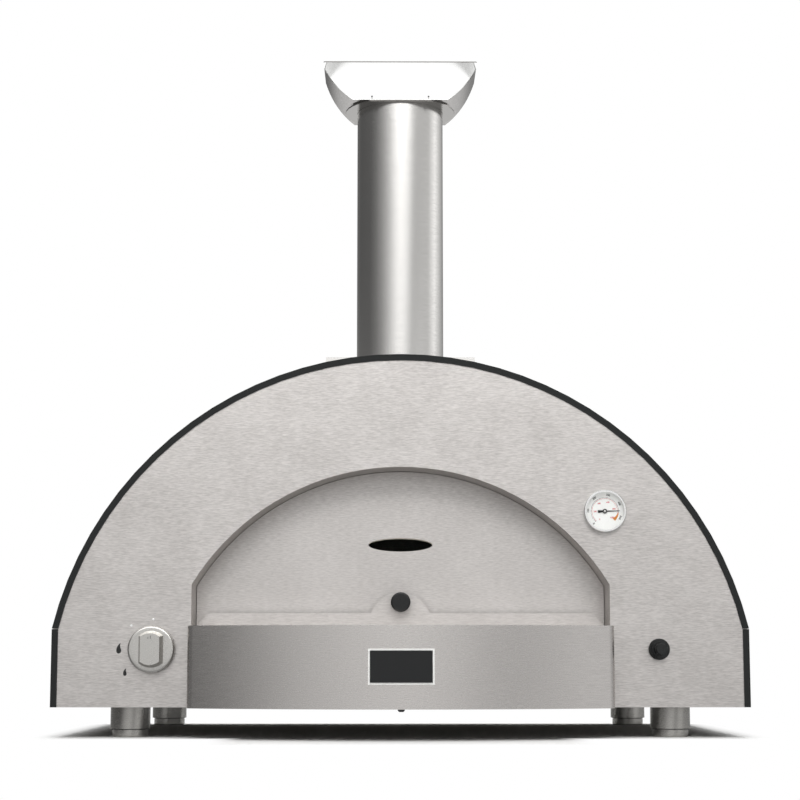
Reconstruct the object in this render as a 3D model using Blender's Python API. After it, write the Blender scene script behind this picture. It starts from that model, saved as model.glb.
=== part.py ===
# Gas pizza oven: steel vault on four feet, mouth with lift-out door, bow-fronted shelf,
# flue with a half-moon cap, side burner, valve, igniter and thermometer.
# Units are metres, +Z is up, the mouth faces -Y.

import math

import bmesh
import bpy
from mathutils import Matrix

# Fits and sheet
touch_gap = 0.0003
sheet = 0.0015
cut_overrun = 0.02

# Body
body_half_width = 0.4910
body_base_height = 0.0428
body_spring_height = 0.1520
body_top_height = 0.5438
body_depth = 0.600
cover_rim_width = 0.0088
cover_seam = 0.0008
panel_flange = 0.014

# Mouth and door
mouth_half_width = 0.2954
mouth_spring_height = 0.2145
mouth_top_height = 0.3814
reveal_flange = 0.012
door_setback = 0.070
door_thickness = 0.0245
door_side_clearance = 0.0007
door_stop_clearance = 0.0006
door_stop_width = 0.012
slit_width = 0.0933
slit_height = 0.0194
slit_centre_height = 0.2742

# Door rail and its knob
rail_setback = 0.046
rail_top_height = 0.1750
rail_top_half_width = 0.2746
rail_base_half_width = 0.2922
hump_radius = 0.044
hump_fillet_radius = 0.0025
hump_top_height = 0.2052
handle_height = 0.1902
handle_radius = 0.0141
handle_length = 0.027
handle_bolt_radius = 0.003

# Shelf
shelf_top_height = 0.1557
shelf_bow = 0.118
shelf_end_depth = 0.0555
shelf_corner_radius = 0.014
shelf_flange = 0.012
badge_width = 0.0894
badge_height = 0.0481
badge_centre_height = 0.0999
badge_border = 0.0026
badge_thickness = 0.0010
bumper_radius = 0.0048
bumper_drop = 0.0030

# Chamber
side_air_gap = 0.0175
top_air_gap = 0.0323
blanket_thickness = 0.045
rear_blanket_thickness = 0.0305
chamber_spring_height = 0.150
tile_thickness = 0.028
tile_gap = 0.001
hearth_lift = 0.001
floor_blanket_inset = 0.027

# Flue
flue_setback = 0.165
flue_pipe_radius = 0.0658
flue_pipe_wall = 0.0012
spigot_clearance = 0.0010
spigot_drop = 0.014
spigot_rise = 0.050
saddle_half_width = 0.109
saddle_rise = 0.0044
cap_base_height = 0.9491
cap_height = 0.0599
cap_radius = 0.1243
cap_flat_half_width = 0.0717
cap_depth = 0.140
cap_wing_top_depth = 0.070
cap_side_bow = 0.0040
cap_corner_radius = 0.003
collar_radius = 0.084
collar_thickness = 0.0022

# Gas control and burner
knob_shelf_gap = 0.0549
control_height = 0.1235
knob_skirt_radius = 0.033
knob_skirt_thickness = 0.0075
knob_standoff = 0.0047
knob_skirt_edge = 0.0030
knob_grip_radius = 0.0257
knob_grip_width = 0.0344
knob_grip_draft = 0.0038
knob_reach = 0.0262
spindle_radius = 0.003
plunger_radius = 0.006
plunger_length = 0.008
valve_width = 0.034
valve_height = 0.042
valve_length = 0.052
valve_bore_depth = 0.030
burner_wall_gap = 0.042
burner_rise = 0.0195
burner_lane = 0.077
burner_radius = 0.011
burner_wall = 0.0012
burner_length = 0.400
burner_port_width = 0.003
feed_radius = 0.004
manifold_inset = 0.051
manifold_height = 0.080
manifold_radius = 0.005
inlet_radius = 0.0105
inlet_reach = 0.019

# Igniter
igniter_shelf_gap = 0.0684
igniter_bezel_radius = 0.015
igniter_bezel_thickness = 0.0055
igniter_collar_radius = 0.0118
igniter_collar_reach = 0.0148
igniter_barrel_radius = 0.0108
igniter_barrel_length = 0.032
igniter_button_radius = 0.0088
igniter_reach = 0.0305
igniter_tail = 0.012
electrode_wall_gap = 0.017

# Thermometer
thermometer_x = 0.2897
thermometer_height = 0.3177
thermometer_radius = 0.030
thermometer_thickness = 0.0112
thermometer_wall = 0.0017
thermometer_lip = 0.0030
dial_thickness = 0.0008
lens_thickness = 0.0012
needle_reach = 0.021
needle_tail = 0.010
needle_thickness = 0.0006
needle_angle = math.radians(2.0)
stem_radius = 0.004
stem_pin_radius = 0.0015
stem_length = 0.140

# Feet
foot_side_inset = 0.105
foot_front_setback = 0.060
foot_rear_inset = 0.049
foot_radius = 0.0285
foot_wall = 0.0020
foot_lift = 0.0118
adjuster_radius = 0.0256
adjuster_thickness = 0.0097
adjuster_stem_radius = 0.008
adjuster_stem_length = 0.028
adjuster_groove = 0.0015

# Facet counts
arch_steps = 38
wide_round_steps = 36
round_steps = 24
small_round_steps = 16
hump_steps = 14
fillet_steps = 3
corner_steps = 6
burner_port_count = 12

# Places that follow from the sizes above
front_reach = shelf_bow + 2 * (touch_gap + badge_thickness)
front_y = (front_reach - body_depth - inlet_reach) / 2
panel_inset = sheet + touch_gap
rim_proud = touch_gap + sheet
pan_height = body_base_height + sheet + touch_gap
pan_top = pan_height + sheet
tongue_underside = shelf_top_height - sheet
shelf_half_width = mouth_half_width - touch_gap
shelf_sag = shelf_bow - shelf_end_depth
shelf_radius = (shelf_half_width ** 2 + shelf_sag ** 2) / (2 * shelf_sag)
shelf_centre = shelf_radius - shelf_bow
door_back = door_setback + door_thickness
wall_setback = door_back + door_stop_clearance
hearth_top = shelf_top_height + hearth_lift
tray_top = hearth_top - tile_thickness - touch_gap
tray_height = tray_top - sheet
blanket_back = body_depth - 2 * (sheet + touch_gap)
chamber_front = wall_setback + sheet + touch_gap
chamber_back = blanket_back - rear_blanket_thickness - sheet - 2 * touch_gap
chamber_half_width = body_half_width - sheet - side_air_gap - blanket_thickness
chamber_top_height = body_top_height - sheet - top_air_gap - blanket_thickness
tile_width = chamber_half_width - burner_lane
spigot_radius = flue_pipe_radius - flue_pipe_wall - spigot_clearance
saddle_top = body_top_height + saddle_rise
gas_knob_x = -shelf_half_width - knob_shelf_gap
knob_face = -knob_standoff
burner_x = burner_wall_gap - chamber_half_width
burner_height = tray_top + burner_rise
electrode_x = electrode_wall_gap - chamber_half_width
manifold_x = manifold_inset - body_half_width
igniter_x = shelf_half_width + igniter_shelf_gap
foot_x = body_half_width - foot_side_inset
foot_rear_setback = body_depth - foot_rear_inset


# Mesh helpers

def new_object(name, mesh_data, location=(0, 0, 0)):
    mesh = bpy.data.meshes.new(name)
    bmesh.ops.recalc_face_normals(mesh_data, faces=mesh_data.faces)
    mesh_data.to_mesh(mesh)
    mesh_data.free()
    item = bpy.data.objects.new(name, mesh)
    item.location = location
    bpy.context.collection.objects.link(item)
    return item


def finish(item, colour, roughness, metallic, alpha=1.0):
    material = bpy.data.materials.new(item.name + "_finish")
    material.use_nodes = True
    shader = material.node_tree.nodes["Principled BSDF"]
    shader.inputs["Base Color"].default_value = (*colour, 1.0)
    shader.inputs["Roughness"].default_value = roughness
    shader.inputs["Metallic"].default_value = metallic
    shader.inputs["Alpha"].default_value = alpha
    item.data.materials.append(material)
    return item


def brushed_steel(item):
    return finish(item, (0.62, 0.62, 0.61), 0.35, 1.0)


def dark_paint(item):
    return finish(item, (0.045, 0.047, 0.050), 0.55, 0.0)


def black_plastic(item):
    return finish(item, (0.012, 0.012, 0.012), 0.4, 0.0)


def brass(item):
    return finish(item, (0.72, 0.55, 0.25), 0.3, 1.0)


def ceramic_fibre(item):
    return finish(item, (0.85, 0.84, 0.80), 0.95, 0.0)


def point_on(axis, first, second, along):
    if axis == "X":
        return (along, first, second)
    if axis == "Y":
        return (first, along, second)
    return (first, second, along)


def prism(name, outline, start, end, axis, location=(0, 0, 0)):
    # A flat outline pushed along one axis
    mesh_data = bmesh.new()
    corners = [mesh_data.verts.new(point_on(axis, a, b, start)) for a, b in outline]
    face = mesh_data.faces.new(corners)
    pushed = bmesh.ops.extrude_face_region(mesh_data, geom=[face])["geom"]
    moved = [part for part in pushed if isinstance(part, bmesh.types.BMVert)]
    bmesh.ops.translate(mesh_data, verts=moved, vec=point_on(axis, 0, 0, end - start))
    return new_object(name, mesh_data, location)


def revolve(name, profile, axis, steps, location=(0, 0, 0)):
    # A profile of radius and height turned about the X, Y or Z axis
    mesh_data = bmesh.new()
    corners = [mesh_data.verts.new((radius, 0, height)) for radius, height in profile]
    pairs = zip(corners, corners[1:] + corners[:1])
    edges = [mesh_data.edges.new(pair) for pair in pairs if pair[0].co.x > 0 or pair[1].co.x > 0]
    bmesh.ops.spin(mesh_data, geom=corners + edges, cent=(0, 0, 0), axis=(0, 0, 1),
                   angle=math.tau, steps=steps, use_merge=True)
    bmesh.ops.remove_doubles(mesh_data, verts=mesh_data.verts, dist=touch_gap / 100)
    if axis == "Y":
        for corner in mesh_data.verts:
            corner.co = (corner.co.x, corner.co.z, -corner.co.y)
    if axis == "X":
        for corner in mesh_data.verts:
            corner.co = (corner.co.z, corner.co.y, -corner.co.x)
    return new_object(name, mesh_data, location)


def loft(name, rings, location=(0, 0, 0)):
    # Closed rings of equal length, skinned in order and capped at both ends
    mesh_data = bmesh.new()
    rows = [[mesh_data.verts.new(point) for point in ring] for ring in rings]
    count = len(rows[0])
    for row, next_row in zip(rows, rows[1:]):
        for index in range(count):
            after = (index + 1) % count
            mesh_data.faces.new((row[index], row[after], next_row[after], next_row[index]))
    mesh_data.faces.new(rows[0])
    mesh_data.faces.new(rows[-1])
    return new_object(name, mesh_data, location)


def tube(name, points, radius, steps=2, location=(0, 0, 0)):
    # A round bar or pipe that follows points
    path = bpy.data.curves.new(name, "CURVE")
    path.dimensions = "3D"
    path.bevel_depth = radius
    path.bevel_resolution = steps
    path.use_fill_caps = True
    line = path.splines.new("POLY")
    line.points.add(len(points) - 1)
    for corner, place in zip(line.points, points):
        corner.co = (*place, 1)
    item = bpy.data.objects.new(name, path)
    item.location = location
    bpy.context.collection.objects.link(item)
    return item


def combine(item, tool, operation):
    tool.hide_render = True
    tool.display_type = "WIRE"
    change = item.modifiers.new(tool.name, "BOOLEAN")
    change.object = tool
    change.operation = operation
    change.solver = "EXACT"
    return item


def cut(item, tool):
    return combine(item, tool, "DIFFERENCE")


def fuse(item, tool):
    return combine(item, tool, "UNION")


def soften(item, width, segments=2):
    rounding = item.modifiers.new("rounding", "BEVEL")
    rounding.width = width
    rounding.segments = segments
    rounding.limit_method = "ANGLE"
    rounding.angle_limit = math.radians(40)
    return item


def round_cutter(name, radius, start, end, axis, location, steps=round_steps):
    profile = [(0, start), (radius, start), (radius, end), (0, end)]
    return revolve(name, profile, axis, steps, location)


def hole_cutters(name, holes, setback):
    # One cutter for several round holes through a sheet that faces the front
    mesh_data = bmesh.new()
    for x, height, radius in holes:
        made = bmesh.ops.create_cone(mesh_data, cap_ends=True, segments=small_round_steps,
                                     radius1=radius, radius2=radius, depth=2 * cut_overrun)
        turn = Matrix.Rotation(math.pi / 2, 4, "X")
        bmesh.ops.transform(mesh_data, verts=made["verts"],
                            matrix=Matrix.Translation((x, setback, height)) @ turn)
    return new_object(name, mesh_data, (0, front_y, 0))


def box(name, low, high, location=(0, 0, 0)):
    outline = [(low[0], low[1]), (high[0], low[1]), (high[0], high[1]), (low[0], high[1])]
    return prism(name, outline, low[2], high[2], "Z", location)


# Arches: upright sides up to a spring line, one arc above it

def arch(half_width, base_height, spring_height, top_height):
    rise = top_height - spring_height
    radius = (half_width ** 2 + rise ** 2) / (2 * rise)
    return {"half_width": half_width, "base_height": base_height,
            "spring_height": spring_height, "radius": radius,
            "centre_height": top_height - radius}


def arc_points(shape, inset, start_height, steps=arch_steps):
    # From the right end of the arc, over the top, to its left end
    radius = shape["radius"] - inset
    start = math.asin((start_height - shape["centre_height"]) / radius)
    reach = min(radius * math.cos(start), shape["half_width"] - inset)
    start = math.acos(reach / radius)
    sweep = math.pi - 2 * start
    angles = [start + sweep * step / steps for step in range(steps + 1)]
    return [(radius * math.cos(angle), shape["centre_height"] + radius * math.sin(angle))
            for angle in angles]


def arch_points(shape, inset=0.0, base_height=None, steps=arch_steps):
    low = shape["base_height"] if base_height is None else base_height
    foot = shape["half_width"] - inset
    return [(foot, low)] + arc_points(shape, inset, shape["spring_height"], steps) + [(-foot, low)]


def sweep_stations(profile, stations_at):
    # One ring for each station of the arch, one corner for each profile point
    columns = [(stations_at(inset), depth) for inset, depth in profile]
    count = len(columns[0][0])
    return [[(places[index][0], depth, places[index][1]) for places, depth in columns]
            for index in range(count)]


def arch_plate(name, shape, inset, start, end, base_height=None):
    return prism(name, arch_points(shape, inset, base_height), start, end, "Y", (0, front_y, 0))


body_arch = arch(body_half_width, body_base_height, body_spring_height, body_top_height)
mouth_arch = arch(mouth_half_width, shelf_top_height, mouth_spring_height, mouth_top_height)
chamber_arch = arch(chamber_half_width, tray_top, chamber_spring_height, chamber_top_height)


# Outer body

def channel_profile():
    # The skin with its front and rear lips, as inset and depth
    front_edge = -rim_proud
    rear_edge = body_depth + rim_proud
    return [(0, front_edge), (cover_rim_width, front_edge),
            (cover_rim_width, front_edge + sheet), (sheet, front_edge + sheet),
            (sheet, rear_edge - sheet), (cover_rim_width, rear_edge - sheet),
            (cover_rim_width, rear_edge), (0, rear_edge)]


def make_vault_cover():
    start_height = body_spring_height + cover_seam / 2

    def stations_at(inset):
        return arc_points(body_arch, inset, start_height)

    cover = loft("vault_cover", sweep_stations(channel_profile(), stations_at), (0, front_y, 0))
    hole = round_cutter("cover_flue_cutter", flue_pipe_radius, body_spring_height,
                        body_top_height + cut_overrun, "Z",
                        (0, front_y + flue_setback, 0), wide_round_steps)
    cut(cover, hole)
    return dark_paint(cover)


def make_side_panel(name, side):
    top_height = body_spring_height - cover_seam / 2
    rings = []
    for height in (body_base_height, top_height):
        rings.append([(side * (body_half_width - inset), depth, height)
                      for inset, depth in channel_profile()])
    return dark_paint(loft(name, rings, (0, front_y, 0)))


def flanged_panel(name, near, far, face_near):
    # A pan of sheet with a flange all round, its face at face_near
    panel = arch_plate(name, body_arch, panel_inset, near, far)
    hollow_start = near + sheet if face_near else near - cut_overrun
    hollow_end = far + cut_overrun if face_near else far - sheet
    hollow = arch_plate(name + "_hollow_cutter", body_arch, panel_inset + sheet,
                        hollow_start, hollow_end, body_base_height + sheet)
    return cut(panel, hollow)


def make_front_panel():
    panel = flanged_panel("front_panel", 0, panel_flange, True)
    cut(panel, arch_plate("mouth_cutter", mouth_arch, 0, -cut_overrun,
                          panel_flange + cut_overrun, tongue_underside - touch_gap))
    holes = [(gas_knob_x, control_height, spindle_radius + sheet),
             (igniter_x, control_height, igniter_barrel_radius + touch_gap),
             (thermometer_x, thermometer_height, stem_radius + touch_gap)]
    cut(panel, hole_cutters("control_hole_cutters", holes, 0))
    return brushed_steel(panel)


def make_rear_panel():
    panel = flanged_panel("rear_panel", body_depth - panel_flange, body_depth, False)
    cut(panel, round_cutter("inlet_hole_cutter", manifold_radius + sheet,
                            -panel_flange - cut_overrun, cut_overrun, "Y",
                            (manifold_x, front_y + body_depth, manifold_height)))
    return dark_paint(panel)


def make_base_pan():
    half_width = body_half_width - panel_inset - sheet - touch_gap
    near = sheet + touch_gap
    far = body_depth - sheet - touch_gap
    rim_height = pan_height + panel_flange
    pan = box("base_pan", (-half_width, near, pan_height), (half_width, far, rim_height),
              (0, front_y, 0))
    hollow = box("base_pan_cutter", (-half_width + sheet, near + sheet, pan_top),
                 (half_width - sheet, far - sheet, rim_height + cut_overrun), (0, front_y, 0))
    return brushed_steel(cut(pan, hollow))


# Mouth and chamber

def make_mouth_reveal():
    near = sheet + touch_gap
    far = wall_setback - touch_gap
    profile = [(0, near), (-reveal_flange, near), (-reveal_flange, near + sheet),
               (-sheet, near + sheet), (-sheet, far), (0, far)]

    def stations_at(inset):
        return arch_points(mouth_arch, inset, tongue_underside)

    return brushed_steel(loft("mouth_reveal", sweep_stations(profile, stations_at),
                              (0, front_y, 0)))


def make_chamber_front_wall():
    outline = arch_points(chamber_arch, -blanket_thickness, pan_top + touch_gap)
    wall = prism("chamber_front_wall", outline, wall_setback, wall_setback + sheet, "Y",
                 (0, front_y, 0))
    cut(wall, arch_plate("door_stop_cutter", mouth_arch, door_stop_width,
                         wall_setback - cut_overrun, wall_setback + cut_overrun,
                         shelf_top_height - touch_gap))
    holes = [(burner_x, burner_height, burner_radius + touch_gap),
             (manifold_x, manifold_height, manifold_radius + touch_gap),
             (thermometer_x, thermometer_height, stem_radius + touch_gap),
             (electrode_x, burner_height, stem_radius + touch_gap)]
    cut(wall, hole_cutters("wall_hole_cutters", holes, wall_setback))
    return brushed_steel(wall)


def chamber_band(name, outset, thickness, near, far, base_height):
    profile = [(-outset, near), (-outset - thickness, near),
               (-outset - thickness, far), (-outset, far)]

    def stations_at(inset):
        return arch_points(chamber_arch, inset, base_height)

    return loft(name, sweep_stations(profile, stations_at), (0, front_y, 0))


def flue_hole(name, radius):
    return round_cutter(name, radius, chamber_spring_height, body_top_height, "Z",
                        (0, front_y + flue_setback, 0), wide_round_steps)


def make_inner_vault():
    vault = chamber_band("inner_vault", -sheet, sheet, chamber_front, chamber_back,
                         tray_top + touch_gap)
    cut(vault, flue_hole("vault_flue_cutter", spigot_radius + touch_gap))
    return brushed_steel(vault)


def make_chamber_rear_wall():
    wall = arch_plate("chamber_rear_wall", chamber_arch, 0, chamber_back + touch_gap,
                      chamber_back + touch_gap + sheet, tray_top + touch_gap)
    return brushed_steel(wall)


def make_vault_insulation():
    blanket = chamber_band("vault_insulation", touch_gap, blanket_thickness - touch_gap,
                           chamber_front, blanket_back, tray_top + touch_gap)
    cut(blanket, flue_hole("blanket_flue_cutter", spigot_radius + touch_gap))
    return ceramic_fibre(blanket)


def make_rear_insulation():
    near = chamber_back + 2 * touch_gap + sheet
    return ceramic_fibre(arch_plate("rear_insulation", chamber_arch, 0, near,
                                    blanket_back, tray_top + touch_gap))


def make_floor_tray():
    half_width = chamber_half_width + blanket_thickness
    foot = pan_top + touch_gap
    outline = [(-half_width, foot), (-half_width, tray_top), (half_width, tray_top),
               (half_width, foot), (half_width - sheet, foot),
               (half_width - sheet, tray_height), (-half_width + sheet, tray_height),
               (-half_width + sheet, foot)]
    return brushed_steel(prism("floor_tray", outline, chamber_front, blanket_back, "Y",
                               (0, front_y, 0)))


def make_floor_insulation():
    half_width = chamber_half_width - floor_blanket_inset
    return ceramic_fibre(box("floor_insulation",
                             (-half_width, chamber_front, pan_top + touch_gap),
                             (half_width, blanket_back, tray_height - touch_gap),
                             (0, front_y, 0)))


def make_hearth_tile(name, low_x):
    tile = box(name, (low_x, chamber_front, tray_top + touch_gap),
               (low_x + tile_width - tile_gap, chamber_back - touch_gap, hearth_top),
               (0, front_y, 0))
    return finish(tile, (0.60, 0.52, 0.42), 0.9, 0.0)


# Shelf

def shelf_edge(inset):
    # The front and ends of the shelf, seen from above, from right to left
    corner_x = shelf_half_width - shelf_corner_radius
    corner_reach = shelf_radius - shelf_corner_radius
    corner_y = shelf_centre - math.sqrt(corner_reach ** 2 - corner_x ** 2)
    meet = math.asin(corner_x / corner_reach)
    corner = []
    for step in range(corner_steps + 1):
        angle = math.pi / 2 - (math.pi / 2 - meet) * step / corner_steps
        corner.append((corner_x + (shelf_corner_radius - inset) * math.sin(angle),
                       corner_y - (shelf_corner_radius - inset) * math.cos(angle)))
    front = []
    for step in range(1, arch_steps):
        angle = meet - 2 * meet * step / arch_steps
        front.append(((shelf_radius - inset) * math.sin(angle),
                      shelf_centre - (shelf_radius - inset) * math.cos(angle)))
    right = [(shelf_half_width - inset, -touch_gap)] + corner
    return right + front + [(-x, y) for x, y in reversed(right)]


def shelf_inside(inset, far):
    # What lies inside the shelf's edge, opened out behind the front panel
    side = shelf_half_width + cut_overrun
    return shelf_edge(inset) + [(-side, -touch_gap), (-side, far), (side, far),
                                (side, -touch_gap)]


def make_front_shelf():
    back = wall_setback - touch_gap
    plan = shelf_edge(0) + [(-shelf_half_width, back), (shelf_half_width, back)]
    shelf = prism("front_shelf", plan, body_base_height, shelf_top_height, "Z", (0, front_y, 0))
    hollow = prism("shelf_hollow_cutter", shelf_inside(sheet, back + cut_overrun),
                   body_base_height + sheet, tongue_underside, "Z", (0, front_y, 0))
    cut(shelf, hollow)
    underside = prism("shelf_underside_cutter", shelf_inside(shelf_flange, back + cut_overrun),
                      body_base_height - cut_overrun, body_base_height + 2 * sheet, "Z",
                      (0, front_y, 0))
    cut(shelf, underside)
    return brushed_steel(shelf)


def bowed_plate(name, width, height, outset, thickness, steps=8):
    # A plate that lies on the bowed front of the shelf
    rings = []
    for step in range(steps + 1):
        angle = width / shelf_radius * (step / steps - 1 / 2)
        ring = []
        for reach, half in ((outset, -1), (outset, 1), (outset + thickness, 1),
                            (outset + thickness, -1)):
            ring.append(((shelf_radius + reach) * math.sin(angle),
                         shelf_centre - (shelf_radius + reach) * math.cos(angle),
                         badge_centre_height + half * height / 2))
        rings.append(ring)
    return loft(name, rings, (0, front_y, 0))


def make_badge():
    backing = bowed_plate("badge_backing", badge_width, badge_height, touch_gap,
                          badge_thickness)
    finish(backing, (0.80, 0.80, 0.79), 0.3, 1.0)
    face = bowed_plate("badge_face", badge_width - 2 * badge_border,
                       badge_height - 2 * badge_border, 2 * touch_gap + badge_thickness,
                       badge_thickness)
    finish(face, (0.05, 0.05, 0.052), 0.45, 0.0)


def make_shelf_bumper():
    top = body_base_height - touch_gap
    profile = [(0, top), (bumper_radius, top), (bumper_radius * 0.95, top - bumper_drop / 2),
               (bumper_radius * 0.6, top - bumper_drop), (0, top - bumper_drop)]
    seat = -shelf_bow + bumper_radius + touch_gap
    return black_plastic(revolve("shelf_bumper", profile, "Z", small_round_steps,
                                 (0, front_y + seat, 0)))


# Door

def slit_cutter(name):
    # A flat oval through the door
    outline = []
    for step in range(wide_round_steps):
        angle = math.tau * step / wide_round_steps
        outline.append((slit_width / 2 * math.cos(angle),
                        slit_centre_height + slit_height / 2 * math.sin(angle)))
    return prism(name, outline, door_setback - cut_overrun, door_back + cut_overrun, "Y",
                 (0, front_y, 0))


def make_door():
    floor = shelf_top_height + touch_gap
    skin = arch_plate("door_outer_panel", mouth_arch, door_side_clearance, door_setback,
                      door_back - sheet - touch_gap, floor)
    cut(skin, arch_plate("door_hollow_cutter", mouth_arch, door_side_clearance + sheet,
                         door_setback + sheet, door_back + cut_overrun, floor + sheet))
    cut(skin, slit_cutter("door_slit_cutter"))
    brushed_steel(skin)
    filling = arch_plate("door_insulation", mouth_arch,
                         door_side_clearance + sheet + touch_gap,
                         door_setback + sheet + touch_gap, door_back - sheet - 2 * touch_gap,
                         floor + sheet + touch_gap)
    cut(filling, slit_cutter("filling_slit_cutter"))
    ceramic_fibre(filling)
    back = arch_plate("door_inner_panel", mouth_arch, door_side_clearance, door_back - sheet,
                      door_back, floor)
    cut(back, slit_cutter("inner_slit_cutter"))
    brushed_steel(back)


def rail_outline():
    # Ends cut back at the top, and a round hump with small hollow fillets for the knob
    centre = hump_top_height - hump_radius
    fillet_level = rail_top_height + hump_fillet_radius
    spread = math.sqrt((hump_radius + hump_fillet_radius) ** 2 - (centre - fillet_level) ** 2)
    meet = math.atan2(fillet_level - centre, spread)
    right = []
    for step in range(fillet_steps + 1):
        angle = -math.pi / 2 - (math.pi / 2 - meet) * step / fillet_steps
        right.append((spread + hump_fillet_radius * math.cos(angle),
                      fillet_level + hump_fillet_radius * math.sin(angle)))
    crown = []
    for step in range(1, hump_steps):
        angle = meet + (math.pi - 2 * meet) * step / hump_steps
        crown.append((hump_radius * math.cos(angle), centre + hump_radius * math.sin(angle)))
    left = [(-x, height) for x, height in reversed(right)]
    base = shelf_top_height + touch_gap
    lip = base + sheet
    return ([(-rail_base_half_width, base), (rail_base_half_width, base),
             (rail_base_half_width, lip), (rail_top_half_width, rail_top_height)]
            + right + crown + left
            + [(-rail_top_half_width, rail_top_height), (-rail_base_half_width, lip)])


def make_door_rail():
    rail = prism("door_rail", rail_outline(), rail_setback, rail_setback + sheet, "Y",
                 (0, front_y, 0))
    base = shelf_top_height + touch_gap
    foot = box("door_rail_foot_guide", (-rail_base_half_width, rail_setback + sheet / 2, base),
               (rail_base_half_width, door_setback - touch_gap, base + sheet), (0, front_y, 0))
    fuse(rail, foot)
    cut(rail, round_cutter("handle_hole_cutter", handle_bolt_radius + touch_gap,
                           rail_setback - cut_overrun, rail_setback + sheet + handle_bolt_radius,
                           "Y", (0, front_y, handle_height)))
    return brushed_steel(rail)


def make_door_handle():
    place = (0, front_y + rail_setback, handle_height)
    neck = handle_radius / 2
    bore = handle_bolt_radius + touch_gap
    bore_depth = handle_length / 2
    seat = -touch_gap
    edge = handle_radius / 6
    front = seat - handle_length
    shoulder = seat - handle_length / 3
    profile = [(bore, seat), (neck, seat), (neck, seat - handle_length / 4),
               (handle_radius - edge, shoulder), (handle_radius, shoulder - edge)]
    for step in range(fillet_steps + 1):
        angle = math.pi / 2 * step / fillet_steps
        profile.append((handle_radius - edge + edge * math.cos(angle),
                        front + edge - edge * math.sin(angle)))
    profile.append((0, front))
    profile += [(0, seat - bore_depth), (bore, seat - bore_depth)]
    black_plastic(revolve("door_handle_knob", profile, "Y", round_steps, place))
    head = sheet + touch_gap
    bolt = [(0, head + handle_bolt_radius), (handle_bolt_radius * 1.4, head + handle_bolt_radius),
            (handle_bolt_radius * 1.8, head), (handle_bolt_radius, head),
            (handle_bolt_radius, touch_gap - bore_depth), (0, touch_gap - bore_depth)]
    brushed_steel(revolve("door_handle_bolt", bolt, "Y", small_round_steps, place))


# Flue

def make_flue_spigot():
    low = chamber_top_height - spigot_drop
    high = saddle_top + spigot_rise
    inner = spigot_radius - sheet
    profile = [(inner, low), (spigot_radius, low), (spigot_radius, high), (inner, high)]
    return brushed_steel(revolve("flue_spigot", profile, "Z", wide_round_steps,
                                 (0, front_y + flue_setback, 0)))


def make_flue_base_flange():
    # A square plate whose skirts follow the vault
    place = (0, front_y + flue_setback, 0)
    half = saddle_half_width
    low = body_spring_height + body_arch["radius"] / 2
    saddle = box("flue_base_flange", (-half, -half, low), (half, half, saddle_top), place)
    hollow = box("saddle_hollow_cutter", (-half + sheet, -half + sheet, low - cut_overrun),
                 (half - sheet, half - sheet, saddle_top - sheet), place)
    cut(saddle, hollow)
    vault = revolve("saddle_vault_cutter",
                    [(0, -half - cut_overrun), (body_arch["radius"] + touch_gap, -half - cut_overrun),
                     (body_arch["radius"] + touch_gap, half + cut_overrun),
                     (0, half + cut_overrun)], "Y", 144,
                    (0, front_y + flue_setback, body_arch["centre_height"]))
    cut(saddle, vault)
    cut(saddle, round_cutter("saddle_bore_cutter", spigot_radius + touch_gap,
                             saddle_top - cut_overrun, saddle_top + cut_overrun, "Z", place,
                             wide_round_steps))
    return brushed_steel(saddle)


def make_flue_pipe():
    low = saddle_top + touch_gap
    high = cap_base_height - touch_gap
    inner = flue_pipe_radius - flue_pipe_wall
    profile = [(inner, low), (flue_pipe_radius, low), (flue_pipe_radius, high), (inner, high)]
    return brushed_steel(revolve("flue_pipe", profile, "Z", wide_round_steps,
                                 (0, front_y + flue_setback, 0)))


def cap_path(inset, steps=10):
    # From the right tip down the wing, across the flat and up to the left tip
    radius = cap_radius - inset
    centre = cap_base_height + math.sqrt(cap_radius ** 2 - cap_flat_half_width ** 2)
    tip_height = cap_base_height + cap_height - sheet - touch_gap
    start = math.asin((tip_height - centre) / radius)
    low_angle = math.asin((cap_base_height + inset - centre) / radius)
    wing = []
    for step in range(steps + 1):
        angle = start + (low_angle - start) * step / steps
        wing.append((radius * math.cos(angle), centre + radius * math.sin(angle)))
    return wing + [(-x, height) for x, height in reversed(wing)]


def cap_side_outline(steps=10):
    # Side view of the wings: two edges that lean in from the base to the lid and bow out a little
    top = cap_base_height + cap_height
    lean = (cap_depth - cap_wing_top_depth) / 2
    edge = [(cap_depth / 2, cap_base_height - cut_overrun)]
    for step in range(steps + 1):
        share = step / steps
        bow = cap_side_bow * 4 * share * (1 - share)
        edge.append((cap_depth / 2 - lean * share + bow, cap_base_height + cap_height * share))
    edge.append((cap_wing_top_depth / 2, top + cut_overrun))
    return edge + [(-depth, height) for depth, height in reversed(edge)]


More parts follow.
